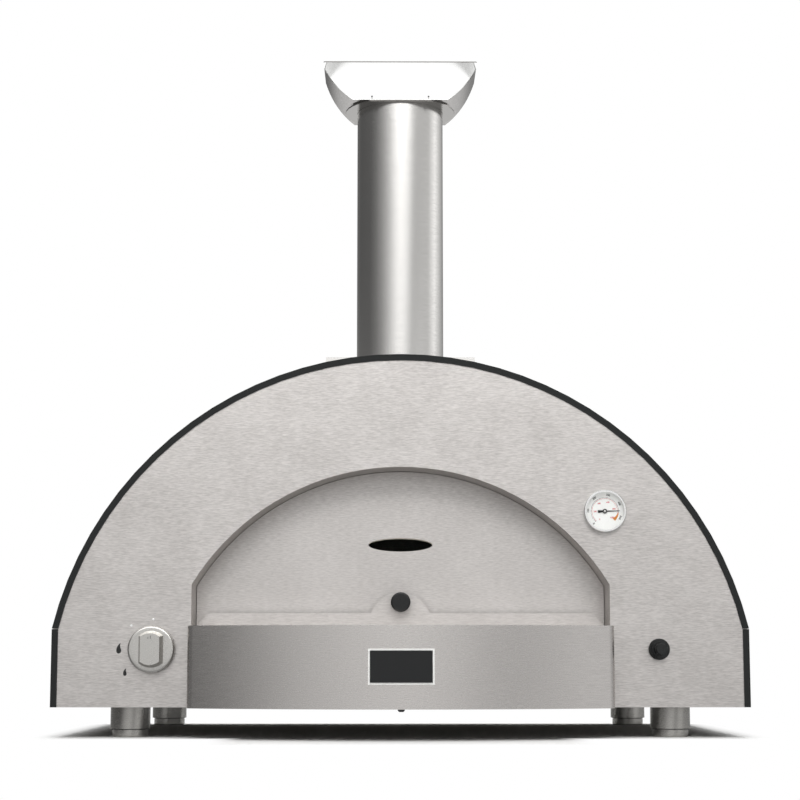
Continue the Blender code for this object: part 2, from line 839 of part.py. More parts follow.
def make_flue_cap():
    place = (0, front_y + flue_setback, 0)
    half_depth = cap_depth / 2
    section = cap_path(0) + list(reversed(cap_path(flue_pipe_wall)))
    shell = prism("flue_cap_shell", section, -half_depth, half_depth, "Y", place)
    bore = flue_pipe_radius - flue_pipe_wall
    cut(shell, round_cutter("cap_bore_cutter", bore, cap_base_height - cut_overrun,
                            cap_base_height + cut_overrun, "Z", place, wide_round_steps))
    combine(shell, prism("cap_side_guide", cap_side_outline(), -cap_radius, cap_radius, "X", place),
            "INTERSECT")
    brushed_steel(shell)

    half_width = cap_path(0)[0][0]
    corner = cap_corner_radius
    plan = []
    steps = 4
    for side_x_sign, side_y_sign, start in ((1, 1, 0), (-1, 1, 90), (-1, -1, 180), (1, -1, 270)):
        for step in range(steps + 1):
            angle = math.radians(start + 90 * step / steps)
            plan.append((side_x_sign * (half_width - corner) + corner * math.cos(angle),
                         side_y_sign * (half_depth - corner) + corner * math.sin(angle)))
    lid = prism("flue_cap_lid", plan, cap_base_height + cap_height - sheet,
                cap_base_height + cap_height, "Z", place)
    brushed_steel(lid)

    high = cap_base_height - touch_gap
    low = high - collar_thickness
    collar_bore = flue_pipe_radius + touch_gap
    collar = revolve("flue_cap_collar", [(collar_bore, low), (collar_radius, low),
                                         (collar_radius, high), (collar_bore, high)],
                     "Z", wide_round_steps, place)
    keeper = box("collar_trim_guide", (-collar_radius * 2, -half_depth, low - cut_overrun),
                 (collar_radius * 2, half_depth, high + cut_overrun), place)
    combine(collar, keeper, "INTERSECT")
    brushed_steel(collar)


# Gas control, burner and supply

def make_gas_knob():
    place = (gas_knob_x, front_y, control_height)
    skirt_front = knob_face - knob_skirt_thickness
    bore = spindle_radius + touch_gap
    bore_end = -knob_reach * 2 / 3
    profile = [(0, knob_face), (knob_skirt_radius, knob_face)]
    for step in range(fillet_steps + 1):
        angle = math.pi / 2 * step / fillet_steps
        profile.append((knob_skirt_radius - knob_skirt_edge * (1 - math.cos(angle)),
                        skirt_front + knob_skirt_edge * (1 - math.sin(angle))))
    knob = revolve("gas_knob", profile + [(0, skirt_front)], "Y", wide_round_steps, place)
    root = skirt_front + knob_skirt_edge
    lean = knob_grip_draft / (knob_reach + skirt_front)
    grip = revolve("knob_grip_guide", [(0, root), (knob_grip_radius, root),
                                       (knob_grip_radius, skirt_front),
                                       (knob_grip_radius - knob_grip_draft, -knob_reach),
                                       (0, -knob_reach)],
                   "Y", wide_round_steps, place)
    half = knob_grip_width / 2
    far_half = half - knob_grip_draft - lean * knob_standoff
    far = -knob_reach - knob_standoff
    flats = prism("knob_flats_guide", [(-half, knob_standoff), (-half, skirt_front), (-far_half, far),
                                       (far_half, far), (half, skirt_front), (half, knob_standoff)],
                  -2 * knob_grip_radius, 2 * knob_grip_radius, "Z", place)
    combine(grip, flats, "INTERSECT")
    fuse(knob, grip)
    cut(knob, round_cutter("knob_bore_cutter", bore, bore_end, cut_overrun, "Y", place,
                           small_round_steps))
    finish(knob, (0.70, 0.70, 0.69), 0.35, 1.0)

    spindle_end = bore_end + touch_gap
    spindle_tail = valve_bore_depth - plunger_length
    spindle = round_cutter("valve_spindle", spindle_radius, spindle_end, spindle_tail, "Y",
                           place, small_round_steps)
    brass(spindle)


def make_valve():
    place = (gas_knob_x, front_y, control_height)
    near = sheet + touch_gap
    body = box("gas_valve_body", (-valve_width / 2, near, -valve_height / 2),
               (valve_width / 2, near + valve_length, valve_height / 2), place)
    soften(body, sheet, 1)
    cut(body, round_cutter("valve_bore_cutter", plunger_radius + touch_gap, near - cut_overrun,
                           near + valve_bore_depth, "Y", place, small_round_steps))
    brass(body)
    inner = spindle_radius + touch_gap
    rear = near + plunger_length + touch_gap
    front = near + touch_gap
    plunger = revolve("valve_plunger", [(inner, front), (plunger_radius, front),
                                        (plunger_radius, rear), (inner, rear)],
                      "Y", small_round_steps, place)
    finish(plunger, (0.5, 0.5, 0.5), 0.4, 1.0)


def make_burner():
    near = wall_setback - burner_radius
    far = near + burner_length
    inner = burner_radius - burner_wall
    place = (burner_x, front_y, burner_height)
    profile = [(inner, near), (burner_radius, near), (burner_radius, far), (0, far),
               (0, far - burner_wall), (inner, far - burner_wall)]
    burner = revolve("burner_tube", profile, "Y", small_round_steps, place)
    slots = bmesh.new()
    for index in range(burner_port_count):
        port_y = chamber_front + (far - chamber_front) * (index + 1) / (burner_port_count + 1)
        made = bmesh.ops.create_cube(slots, size=1)
        reach = Matrix.Diagonal((inner, burner_port_width, inner, 1))
        bmesh.ops.transform(slots, verts=made["verts"],
                            matrix=Matrix.Translation((burner_radius, port_y, inner)) @ reach)
    cut(burner, new_object("burner_port_cutters", slots, place))
    brushed_steel(burner)

    seat = burner_height - tray_top
    cradle = burner_radius + touch_gap
    bracket = box("burner_bracket", (-burner_radius - sheet, far - burner_radius * 2, -seat + touch_gap),
                  (burner_radius + sheet, far - burner_radius, 0), place)
    cut(bracket, round_cutter("bracket_cradle_cutter", cradle, far - burner_length, far, "Y",
                              place, small_round_steps))
    brushed_steel(bracket)

    valve_back = sheet + touch_gap + valve_length + touch_gap
    start = (gas_knob_x, valve_back, control_height)
    end = (burner_x, near + burner_radius, burner_height)
    bend = (end[1] - start[1]) / 4
    feed = tube("gas_feed_tube", [start, (start[0], start[1] + bend, start[2]),
                                  (end[0], start[1] + 2 * bend, end[2]), end], feed_radius)
    feed.location = (0, front_y, 0)
    brass(feed)


def make_supply():
    valve_middle = sheet + touch_gap + valve_length / 2
    valve_side = gas_knob_x - valve_width / 2 - touch_gap
    bend = manifold_radius * 3
    points = [(valve_side, valve_middle, control_height),
              (manifold_x + bend, valve_middle, control_height),
              (manifold_x, valve_middle, control_height - bend),
              (manifold_x, valve_middle, manifold_height + bend),
              (manifold_x, valve_middle + bend, manifold_height),
              (manifold_x, body_depth - sheet - touch_gap, manifold_height)]
    pipe = tube("gas_manifold_pipe", points, manifold_radius)
    pipe.location = (0, front_y, 0)
    brass(pipe)

    place = (manifold_x, front_y + body_depth, manifold_height)
    thread = inlet_radius * 0.8
    hex_end = inlet_reach / 2
    bore = manifold_radius * 0.8
    profile = [(bore, touch_gap), (inlet_radius, touch_gap), (inlet_radius, hex_end),
               (thread, hex_end), (thread, inlet_reach), (bore, inlet_reach)]
    fitting = revolve("gas_inlet_fitting", profile, "Y", small_round_steps, place)
    brass(fitting)


# Igniter

def make_igniter():
    place = (igniter_x, front_y, control_height)
    bore = igniter_button_radius + touch_gap
    rear = igniter_barrel_length
    bezel_front = -touch_gap - igniter_bezel_thickness
    edge = sheet
    housing = [(bore, -igniter_collar_reach), (igniter_collar_radius - edge / 2, -igniter_collar_reach),
               (igniter_collar_radius, -igniter_collar_reach + edge / 2),
               (igniter_collar_radius, bezel_front), (igniter_bezel_radius - edge, bezel_front),
               (igniter_bezel_radius, bezel_front + edge), (igniter_bezel_radius, -touch_gap),
               (igniter_barrel_radius, -touch_gap), (igniter_barrel_radius, rear),
               (0, rear), (0, rear - sheet), (bore, rear - sheet)]
    black_plastic(revolve("igniter_housing", housing, "Y", round_steps, place))
    dome = igniter_button_radius / 5
    button = [(0, igniter_tail), (igniter_button_radius, igniter_tail),
              (igniter_button_radius, -igniter_reach + dome),
              (igniter_button_radius - dome, -igniter_reach), (0, -igniter_reach)]
    black_plastic(revolve("igniter_button", button, "Y", round_steps, place))
    near = sheet + touch_gap
    nut = [(igniter_barrel_radius + touch_gap, near), (igniter_bezel_radius + sheet, near),
           (igniter_bezel_radius + sheet, near + 2 * sheet),
           (igniter_barrel_radius + touch_gap, near + 2 * sheet)]
    black_plastic(revolve("igniter_nut", nut, "Y", round_steps, place))


def make_ignition():
    tip = chamber_front + stem_length / 4
    near = wall_setback - stem_radius * 3
    electrode = round_cutter("spark_electrode", stem_radius, near, tip, "Y",
                             (electrode_x, front_y, burner_height), small_round_steps)
    finish(electrode, (0.9, 0.88, 0.84), 0.4, 0.0)
    low = pan_top + panel_flange
    lead_radius = stem_radius / 2
    out = igniter_barrel_length + touch_gap
    middle = (out + near) / 2
    points = [(igniter_x, out, control_height), (igniter_x, middle, control_height),
              (igniter_x, middle, low), (electrode_x, middle, low),
              (electrode_x, middle, burner_height),
              (electrode_x, near - touch_gap, burner_height)]
    lead = tube("ignition_lead", points, lead_radius, 1)
    lead.location = (0, front_y, 0)
    finish(lead, (0.35, 0.03, 0.02), 0.6, 0.0)


# Thermometer

def make_thermometer():
    place = (thermometer_x, front_y, thermometer_height)
    back = -touch_gap
    front = -thermometer_thickness
    inner = thermometer_radius - thermometer_wall
    lip = thermometer_radius - thermometer_lip
    floor = back - sheet
    hole = stem_pin_radius + touch_gap
    case = [(hole, back), (thermometer_radius, back),
            (thermometer_radius, front + thermometer_wall / 2),
            (thermometer_radius - thermometer_wall / 2, front), (lip, front),
            (lip, front + sheet), (inner, front + sheet), (inner, floor), (hole, floor)]
    finish(revolve("thermometer_case", case, "Y", wide_round_steps, place),
           (0.8, 0.8, 0.79), 0.2, 1.0)

    dial_back = floor - touch_gap
    dial_front = dial_back - dial_thickness
    dial = [(hole, dial_back), (inner - touch_gap, dial_back), (inner - touch_gap, dial_front),
            (hole, dial_front)]
    finish(revolve("thermometer_dial", dial, "Y", wide_round_steps, place),
           (0.92, 0.92, 0.90), 0.5, 0.0)

    lens_front = front + sheet + touch_gap
    lens_back = lens_front + lens_thickness
    lens = [(0, lens_back), (inner - touch_gap, lens_back), (inner - touch_gap, lens_front),
            (0, lens_front)]
    finish(revolve("thermometer_lens", lens, "Y", wide_round_steps, place),
           (0.95, 0.97, 0.97), 0.05, 0.0, 0.2)

    needle_back = dial_front - sheet / 3
    needle_front = needle_back - needle_thickness
    hub = stem_pin_radius * 2.2
    tip_half = needle_thickness / 2
    tail_half = hub * 0.6
    blade = [(needle_reach, -tip_half), (needle_reach, tip_half), (0, tail_half / 2),
             (-needle_tail, tail_half), (-needle_tail, -tail_half), (0, -tail_half / 2)]
    needle = prism("thermometer_needle", blade, needle_back, needle_front, "Y", place)
    boss = round_cutter("needle_boss_guide", hub, needle_back, needle_front - sheet / 2, "Y",
                        place, small_round_steps)
    fuse(needle, boss)
    cut(needle, round_cutter("needle_bore_cutter", hole, needle_back + cut_overrun,
                             needle_front, "Y", place, small_round_steps))
    needle.rotation_euler = (0, -needle_angle, 0)
    black_plastic(needle)

    pin_front = needle_front + touch_gap
    stem = [(0, pin_front), (stem_pin_radius, pin_front), (stem_pin_radius, 0),
            (stem_radius, 0), (stem_radius, stem_length - stem_radius),
            (0, stem_length)]
    brushed_steel(revolve("thermometer_stem", stem, "Y", small_round_steps, place))


# Feet

def make_foot(end, side, x, setback):
    top = pan_height - touch_gap
    place = (x, front_y + setback, 0)
    bore = adjuster_stem_radius + touch_gap
    plug = top - foot_wall
    profile = [(bore, foot_lift), (foot_radius, foot_lift), (foot_radius, top), (0, top),
               (0, plug), (bore, plug)]
    tube_item = revolve("foot_tube_" + end + "_" + side, profile, "Z", round_steps, place)
    brushed_steel(tube_item)
    groove = adjuster_radius - adjuster_groove
    stem_top = min(adjuster_thickness + adjuster_stem_length, plug - touch_gap)
    pad = [(0, 0), (adjuster_radius - adjuster_groove, 0), (adjuster_radius, adjuster_groove),
           (adjuster_radius, adjuster_thickness), (groove, adjuster_thickness),
           (groove, foot_lift - touch_gap), (adjuster_stem_radius, foot_lift - touch_gap),
           (adjuster_stem_radius, stem_top), (0, stem_top)]
    pad_item = revolve("foot_adjuster_" + end + "_" + side, pad, "Z", round_steps, place)
    finish(pad_item, (0.5, 0.5, 0.5), 0.4, 1.0)


def main():
    for item in list(bpy.data.objects):
        bpy.data.objects.remove(item, do_unlink=True)
    make_vault_cover()
    make_side_panel("side_panel_left", -1)
    make_side_panel("side_panel_right", 1)
    make_front_panel()
    make_rear_panel()
    make_base_pan()
    make_mouth_reveal()
    make_chamber_front_wall()
    make_inner_vault()
    make_chamber_rear_wall()
    make_vault_insulation()
    make_rear_insulation()
    make_floor_tray()
    make_floor_insulation()
    make_hearth_tile("hearth_tile_left", -tile_width)
    make_hearth_tile("hearth_tile_right", tile_gap)
    make_front_shelf()
    make_badge()
    make_shelf_bumper()
    make_door()
    make_door_rail()
    make_door_handle()
    make_flue_spigot()
    make_flue_base_flange()
    make_flue_pipe()
    make_flue_cap()
    make_gas_knob()
    make_valve()
    make_burner()
    make_supply()
    make_igniter()
    make_ignition()
    make_thermometer()
    for end, setback in (("front", foot_front_setback), ("rear", foot_rear_setback)):
        make_foot(end, "left", -foot_x, setback)
        make_foot(end, "right", foot_x, setback)


main()
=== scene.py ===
import math
import bmesh
import bpy
from mathutils import Matrix, Vector


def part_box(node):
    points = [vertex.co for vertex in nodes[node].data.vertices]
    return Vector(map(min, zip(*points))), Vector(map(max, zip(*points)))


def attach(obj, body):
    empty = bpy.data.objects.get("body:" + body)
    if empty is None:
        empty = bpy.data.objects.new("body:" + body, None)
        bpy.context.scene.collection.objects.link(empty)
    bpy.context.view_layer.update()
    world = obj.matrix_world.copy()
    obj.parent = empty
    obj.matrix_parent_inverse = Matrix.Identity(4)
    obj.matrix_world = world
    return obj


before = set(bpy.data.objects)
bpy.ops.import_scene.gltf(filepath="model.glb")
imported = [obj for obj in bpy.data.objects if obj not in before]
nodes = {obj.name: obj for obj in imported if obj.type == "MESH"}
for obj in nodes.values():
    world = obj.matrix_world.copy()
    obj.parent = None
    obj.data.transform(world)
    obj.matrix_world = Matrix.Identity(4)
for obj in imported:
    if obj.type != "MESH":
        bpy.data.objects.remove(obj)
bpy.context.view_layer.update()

# Gas pizza oven: the frame's own solids with real finishes, and the small parts on them.
mm = 0.001
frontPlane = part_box("front_panel")[0][1]  # y of the steel front, which faces -Y


def hexToLinear(code):
    # an sRGB hex colour as the linear colour that a shader takes
    parts = [int(code[i:i + 2], 16) / 255 for i in (0, 2, 4)]
    return tuple(c / 12.92 if c <= 0.04045 else ((c + 0.055) / 1.055) ** 2.4 for c in parts) + (1.0,)


def addNode(tree, kind, inputs=None, **settings):
    # one node with its settings; an input is a value, or another node's output to link
    node = tree.nodes.new(kind)
    for name, value in settings.items():
        setattr(node, name, value)
    for key, value in (inputs or {}).items():
        socket = node.inputs[key]
        if isinstance(value, bpy.types.NodeSocket):
            tree.links.new(value, socket)
        else:
            socket.default_value = value
    return node


def newMaterial(name):
    material = bpy.data.materials.new(name)
    material.use_nodes = True
    material.node_tree.nodes.clear()
    return material, material.node_tree


def close(tree, shader):
    addNode(tree, "ShaderNodeOutputMaterial", {"Surface": shader.outputs[0]})


def perMetre(*sizes):
    # pattern sizes in mm, along x, y and z, as a Mapping scale
    return tuple(1 / (size * mm) for size in sizes)


def setRamp(ramp, stops):
    while len(ramp.elements) < len(stops):
        ramp.elements.new(0.5)
    for element, (position, colour) in zip(ramp.elements, stops):
        element.position = position
        element.color = colour


# how every finish answers its grain: roughness swing, relief in mm, each pattern's share of the tone,
# and the noise's own detail and fray
grainSpan = (0.3, 0.7)  # most values of a noise lie between these
steelGrain = {"swing": 0.05, "relief": 0.1, "grainShare": 0.8, "cloudShare": 0.2, "detail": 3.0, "fray": 0.6,
              "levelAbove": 0.8, "edgeAbove": 0.9, "innerAbove": 0.05}
coatGrain = {"swing": 0.05, "relief": 0.15, "peelShare": 0.7, "fleckShare": 0.5, "low": 0.3, "high": 0.8,
             "fray": 0.55}
toolGrain = {"swing": 0.05, "relief": 0.05, "low": 0.3, "high": 0.7, "fray": 0.55}
softGrain = {"swing": 0.05, "low": 0.3, "high": 0.7, "detail": 3.0, "fray": 0.6}


def brushedSteel(name, look):
    # AISI 304 sheet, brushed along the sheet: short level hairlines that break the reflection
    material, tree = newMaterial(name)
    place = addNode(tree, "ShaderNodeTexCoord").outputs["Object"]
    upright = perMetre(look["grainLength"], look["grainLength"], look["grainWidth"])
    level = perMetre(look["grainLength"], look["grainWidth"], look["grainWidth"])
    grains = []
    for scale in (upright, level):
        turned = addNode(tree, "ShaderNodeMapping", {"Vector": place, "Scale": scale})
        grains.append(addNode(tree, "ShaderNodeTexNoise", {
            "Vector": turned.outputs[0], "Scale": 1.0, "Detail": steelGrain["detail"],
            "Roughness": steelGrain["fray"]}))
    normal = addNode(tree, "ShaderNodeSeparateXYZ", {
        "Vector": addNode(tree, "ShaderNodeNewGeometry").outputs["Normal"]})
    lies = addNode(tree, "ShaderNodeMath", {0: normal.outputs["Z"]}, operation="ABSOLUTE")
    lies = addNode(tree, "ShaderNodeMath", {0: lies.outputs[0], 1: steelGrain["levelAbove"]},
                   operation="GREATER_THAN")
    grain = addNode(tree, "ShaderNodeMix", {
        "Factor": lies.outputs[0], "A": grains[0].outputs[0], "B": grains[1].outputs[0]})
    clouds = addNode(tree, "ShaderNodeTexNoise", {"Vector": place, "Scale": 1 / (look["cloud"] * mm)})
    tone = addNode(tree, "ShaderNodeMath", {
        0: grain.outputs[0], 1: steelGrain["grainShare"]}, operation="MULTIPLY")
    tone = addNode(tree, "ShaderNodeMath", {
        0: clouds.outputs[0], 1: steelGrain["cloudShare"], 2: tone.outputs[0]}, operation="MULTIPLY_ADD")
    colour = addNode(tree, "ShaderNodeValToRGB", {"Fac": tone.outputs[0]})
    setRamp(colour.color_ramp, [(0.5 - look["spread"], hexToLinear(look["dark"])),
                                (0.5 + look["spread"], hexToLinear(look["light"]))])
    rough = addNode(tree, "ShaderNodeMapRange", {
        "Value": grain.outputs[0], "From Min": grainSpan[0], "From Max": grainSpan[1],
        "To Min": look["roughness"] + steelGrain["swing"], "To Max": look["roughness"] - steelGrain["swing"]})
    bump = addNode(tree, "ShaderNodeBump", {
        "Height": grain.outputs[0], "Strength": look["bump"], "Distance": steelGrain["relief"] * mm})
    tint, blur = colour.outputs[0], rough.outputs[0]
    if "edge" in look:
        # painted light and shade by facing: faces turned to the front or back are painted dark, faces turned
        # upwards near white, and level faces a tone of their own; level faces also get their own roughness
        front = addNode(tree, "ShaderNodeMath", {0: normal.outputs["Y"]}, operation="ABSOLUTE")
        front = addNode(tree, "ShaderNodeMath", {0: front.outputs[0], 1: steelGrain["edgeAbove"]},
                        operation="GREATER_THAN")
        inner = addNode(tree, "ShaderNodeMath", {0: normal.outputs["Z"], 1: steelGrain["innerAbove"]},
                        operation="GREATER_THAN")
        for part, share in (("edge", front), ("upwardPaintedLight", inner), ("level", lies)):
            tint = addNode(tree, "ShaderNodeMix", {
                "Factor": share.outputs[0], "A": tint, "B": hexToLinear(look[part])},
                data_type="RGBA").outputs["Result"]
        blur = addNode(tree, "ShaderNodeMix", {
            "Factor": lies.outputs[0], "A": blur, "B": look["levelRoughness"]}).outputs[0]
    close(tree, addNode(tree, "ShaderNodeBsdfPrincipled", {
        "Base Color": tint, "Roughness": blur, "Metallic": 1.0, "Normal": bump.outputs[0]}))
    return material


def paintedSheet(name, look):
    # polyester powder coat on steel: deep grey with a fine orange peel and a soft sheen
    material, tree = newMaterial(name)
    place = addNode(tree, "ShaderNodeTexCoord").outputs["Object"]
    peel = addNode(tree, "ShaderNodeTexNoise", {
        "Vector": place, "Scale": 1 / (look["peel"] * mm), "Roughness": coatGrain["fray"]})
    fleck = addNode(tree, "ShaderNodeTexVoronoi", {
        "Vector": place, "Scale": 1 / (look["fleck"] * mm)})
    shade = addNode(tree, "ShaderNodeMath", {
        0: fleck.outputs["Distance"], 1: coatGrain["fleckShare"]}, operation="MULTIPLY")
    shade = addNode(tree, "ShaderNodeMath", {
        0: peel.outputs[0], 1: coatGrain["peelShare"], 2: shade.outputs[0]}, operation="MULTIPLY_ADD")
    colour = addNode(tree, "ShaderNodeValToRGB", {"Fac": shade.outputs[0]})
    setRamp(colour.color_ramp, [(coatGrain["low"], hexToLinear(look["dark"])),
                                (coatGrain["high"], hexToLinear(look["light"]))])
    rough = addNode(tree, "ShaderNodeMapRange", {
        "Value": peel.outputs[0], "From Min": grainSpan[0], "From Max": grainSpan[1],
        "To Min": look["roughness"] - coatGrain["swing"], "To Max": look["roughness"] + coatGrain["swing"]})
    bump = addNode(tree, "ShaderNodeBump", {
        "Height": peel.outputs[0], "Strength": look["bump"], "Distance": coatGrain["relief"] * mm})
    close(tree, addNode(tree, "ShaderNodeBsdfPrincipled", {
        "Base Color": colour.outputs[0], "Roughness": rough.outputs[0],
        "IOR": look.get("ior", 1.5), "Normal": bump.outputs[0]}))
    return material


def turnedMetal(name, look):
    # machined or drawn metal: fine tool lines, brighter on their crests
    material, tree = newMaterial(name)
    place = addNode(tree, "ShaderNodeTexCoord").outputs["Object"]
    turned = addNode(tree, "ShaderNodeMapping", {"Vector": place, "Scale": perMetre(*look["grain"])})
    lines = addNode(tree, "ShaderNodeTexNoise", {
        "Vector": turned.outputs[0], "Scale": 1.0, "Roughness": toolGrain["fray"]})
    colour = addNode(tree, "ShaderNodeValToRGB", {"Fac": lines.outputs[0]})
    setRamp(colour.color_ramp, [(toolGrain["low"], hexToLinear(look["dark"])),
                                (toolGrain["high"], hexToLinear(look["light"]))])
    rough = addNode(tree, "ShaderNodeMapRange", {
        "Value": lines.outputs[0], "From Min": grainSpan[0], "From Max": grainSpan[1],
        "To Min": look["roughness"] + toolGrain["swing"], "To Max": look["roughness"] - toolGrain["swing"]})
    bump = addNode(tree, "ShaderNodeBump", {
        "Height": lines.outputs[0], "Strength": look["bump"], "Distance": toolGrain["relief"] * mm})
    close(tree, addNode(tree, "ShaderNodeBsdfPrincipled", {
        "Base Color": colour.outputs[0], "Roughness": rough.outputs[0], "Metallic": 1.0,
        "Normal": bump.outputs[0]}))
    return material


def softSurface(name, look):
    # a non-metal with a grain of its own: moulded plastic, rubber, clay, fibre, enamel or ink
    look = {**softGrain, **look}
    material, tree = newMaterial(name)
    place = addNode(tree, "ShaderNodeTexCoord").outputs["Object"]
    turned = addNode(tree, "ShaderNodeMapping", {"Vector": place, "Scale": perMetre(*look["grain"])})
    grain = addNode(tree, "ShaderNodeTexNoise", {
        "Vector": turned.outputs[0], "Scale": 1.0, "Detail": look["detail"], "Roughness": look["fray"]})
    colour = addNode(tree, "ShaderNodeValToRGB", {"Fac": grain.outputs[0]})
    setRamp(colour.color_ramp, [(look["low"], hexToLinear(look["dark"])),
                                (look["high"], hexToLinear(look["light"]))])
    rough = addNode(tree, "ShaderNodeMapRange", {
        "Value": grain.outputs[0], "From Min": grainSpan[0], "From Max": grainSpan[1],
        "To Min": look["roughness"] - look["swing"], "To Max": look["roughness"] + look["swing"]})
    bump = addNode(tree, "ShaderNodeBump", {
        "Height": grain.outputs[0], "Strength": look["bump"], "Distance": look["relief"] * mm})
    close(tree, addNode(tree, "ShaderNodeBsdfPrincipled", {
        "Base Color": colour.outputs[0], "Roughness": rough.outputs[0],
        "IOR": look.get("ior", 1.5), "Normal": bump.outputs[0]}))
    return material


def clearGlass(name, look):
    # mineral glass window: nearly colourless, with a clean gloss
    material, tree = newMaterial(name)
    place = addNode(tree, "ShaderNodeTexCoord").outputs["Object"]
    smear = addNode(tree, "ShaderNodeTexNoise", {"Vector": place, "Scale": 1 / (look["smear"] * mm)})
    rough = addNode(tree, "ShaderNodeMapRange", {
        "Value": smear.outputs[0], "To Min": 0.0, "To Max": look["smearRoughness"]})
    close(tree, addNode(tree, "ShaderNodeBsdfPrincipled", {
        "Base Color": hexToLinear(look["tint"]), "Roughness": rough.outputs[0], "IOR": look["ior"],
        "Transmission Weight": 1.0, "Alpha": look["shows"]}))
    return material


# sizes of grain in mm; the hairlines are really 0.2 mm wide and are drawn as coarse as they show
frontLook = {"light": "e0dcd9", "dark": "b4b0ad", "grainLength": 9.0, "grainWidth": 1.3,
             "cloud": 60.0, "spread": 0.20, "roughness": 0.39, "bump": 0.26}
shelfLook = dict(frontLook, light="d7d3d0", dark="d1cdca", grainLength=14.0, grainWidth=1.0,
                 roughness=0.27, bump=0.04)
doorLook = dict(frontLook, light="dcd8d5", dark="bab6b3", cloud=90.0, roughness=0.38)
railLook = dict(frontLook, light="d6d2cf", dark="b8b4b1", roughness=0.40)
# the flue's near-white tones are painted light, lighter than the cap's same steel, so the flange and the pipe's
# middle show white
flueLook = dict(frontLook, light="fbf9f6", dark="eeece9", grainLength=12.0, grainWidth=1.1,
                roughness=0.20, bump=0.5)
# the cap's edge, upward and level tones are painted shade and light: dark front and back edges, near-white
# faces that look up, and grey level faces that dim the pipe's reflection
capLook = dict(flueLook, light="d2cfcc", dark="cac7c4", roughness=0.24, bump=0.03,
               edge="6e6c69", upwardPaintedLight="fffffe", level="8c8a87", levelRoughness=0.06)
# the lid's level faces are painted near white: a painted reflection of the white ground
lidLook = dict(capLook, level="fffffe", levelRoughness=0.15)
footLook = dict(frontLook, light="b2b0ac", dark="a6a4a0", grainLength=8.0, grainWidth=0.9,
                roughness=0.24, bump=0.04)
innerLook = dict(frontLook, light="b2afab", dark="97948f", roughness=0.45)
revealLook = dict(frontLook, light="d6d2cf", dark="c2bebb", roughness=0.48)
inkLook = {"grain": (0.6, 0.6, 0.6), "roughness": 0.6, "bump": 0.1, "relief": 0.02}
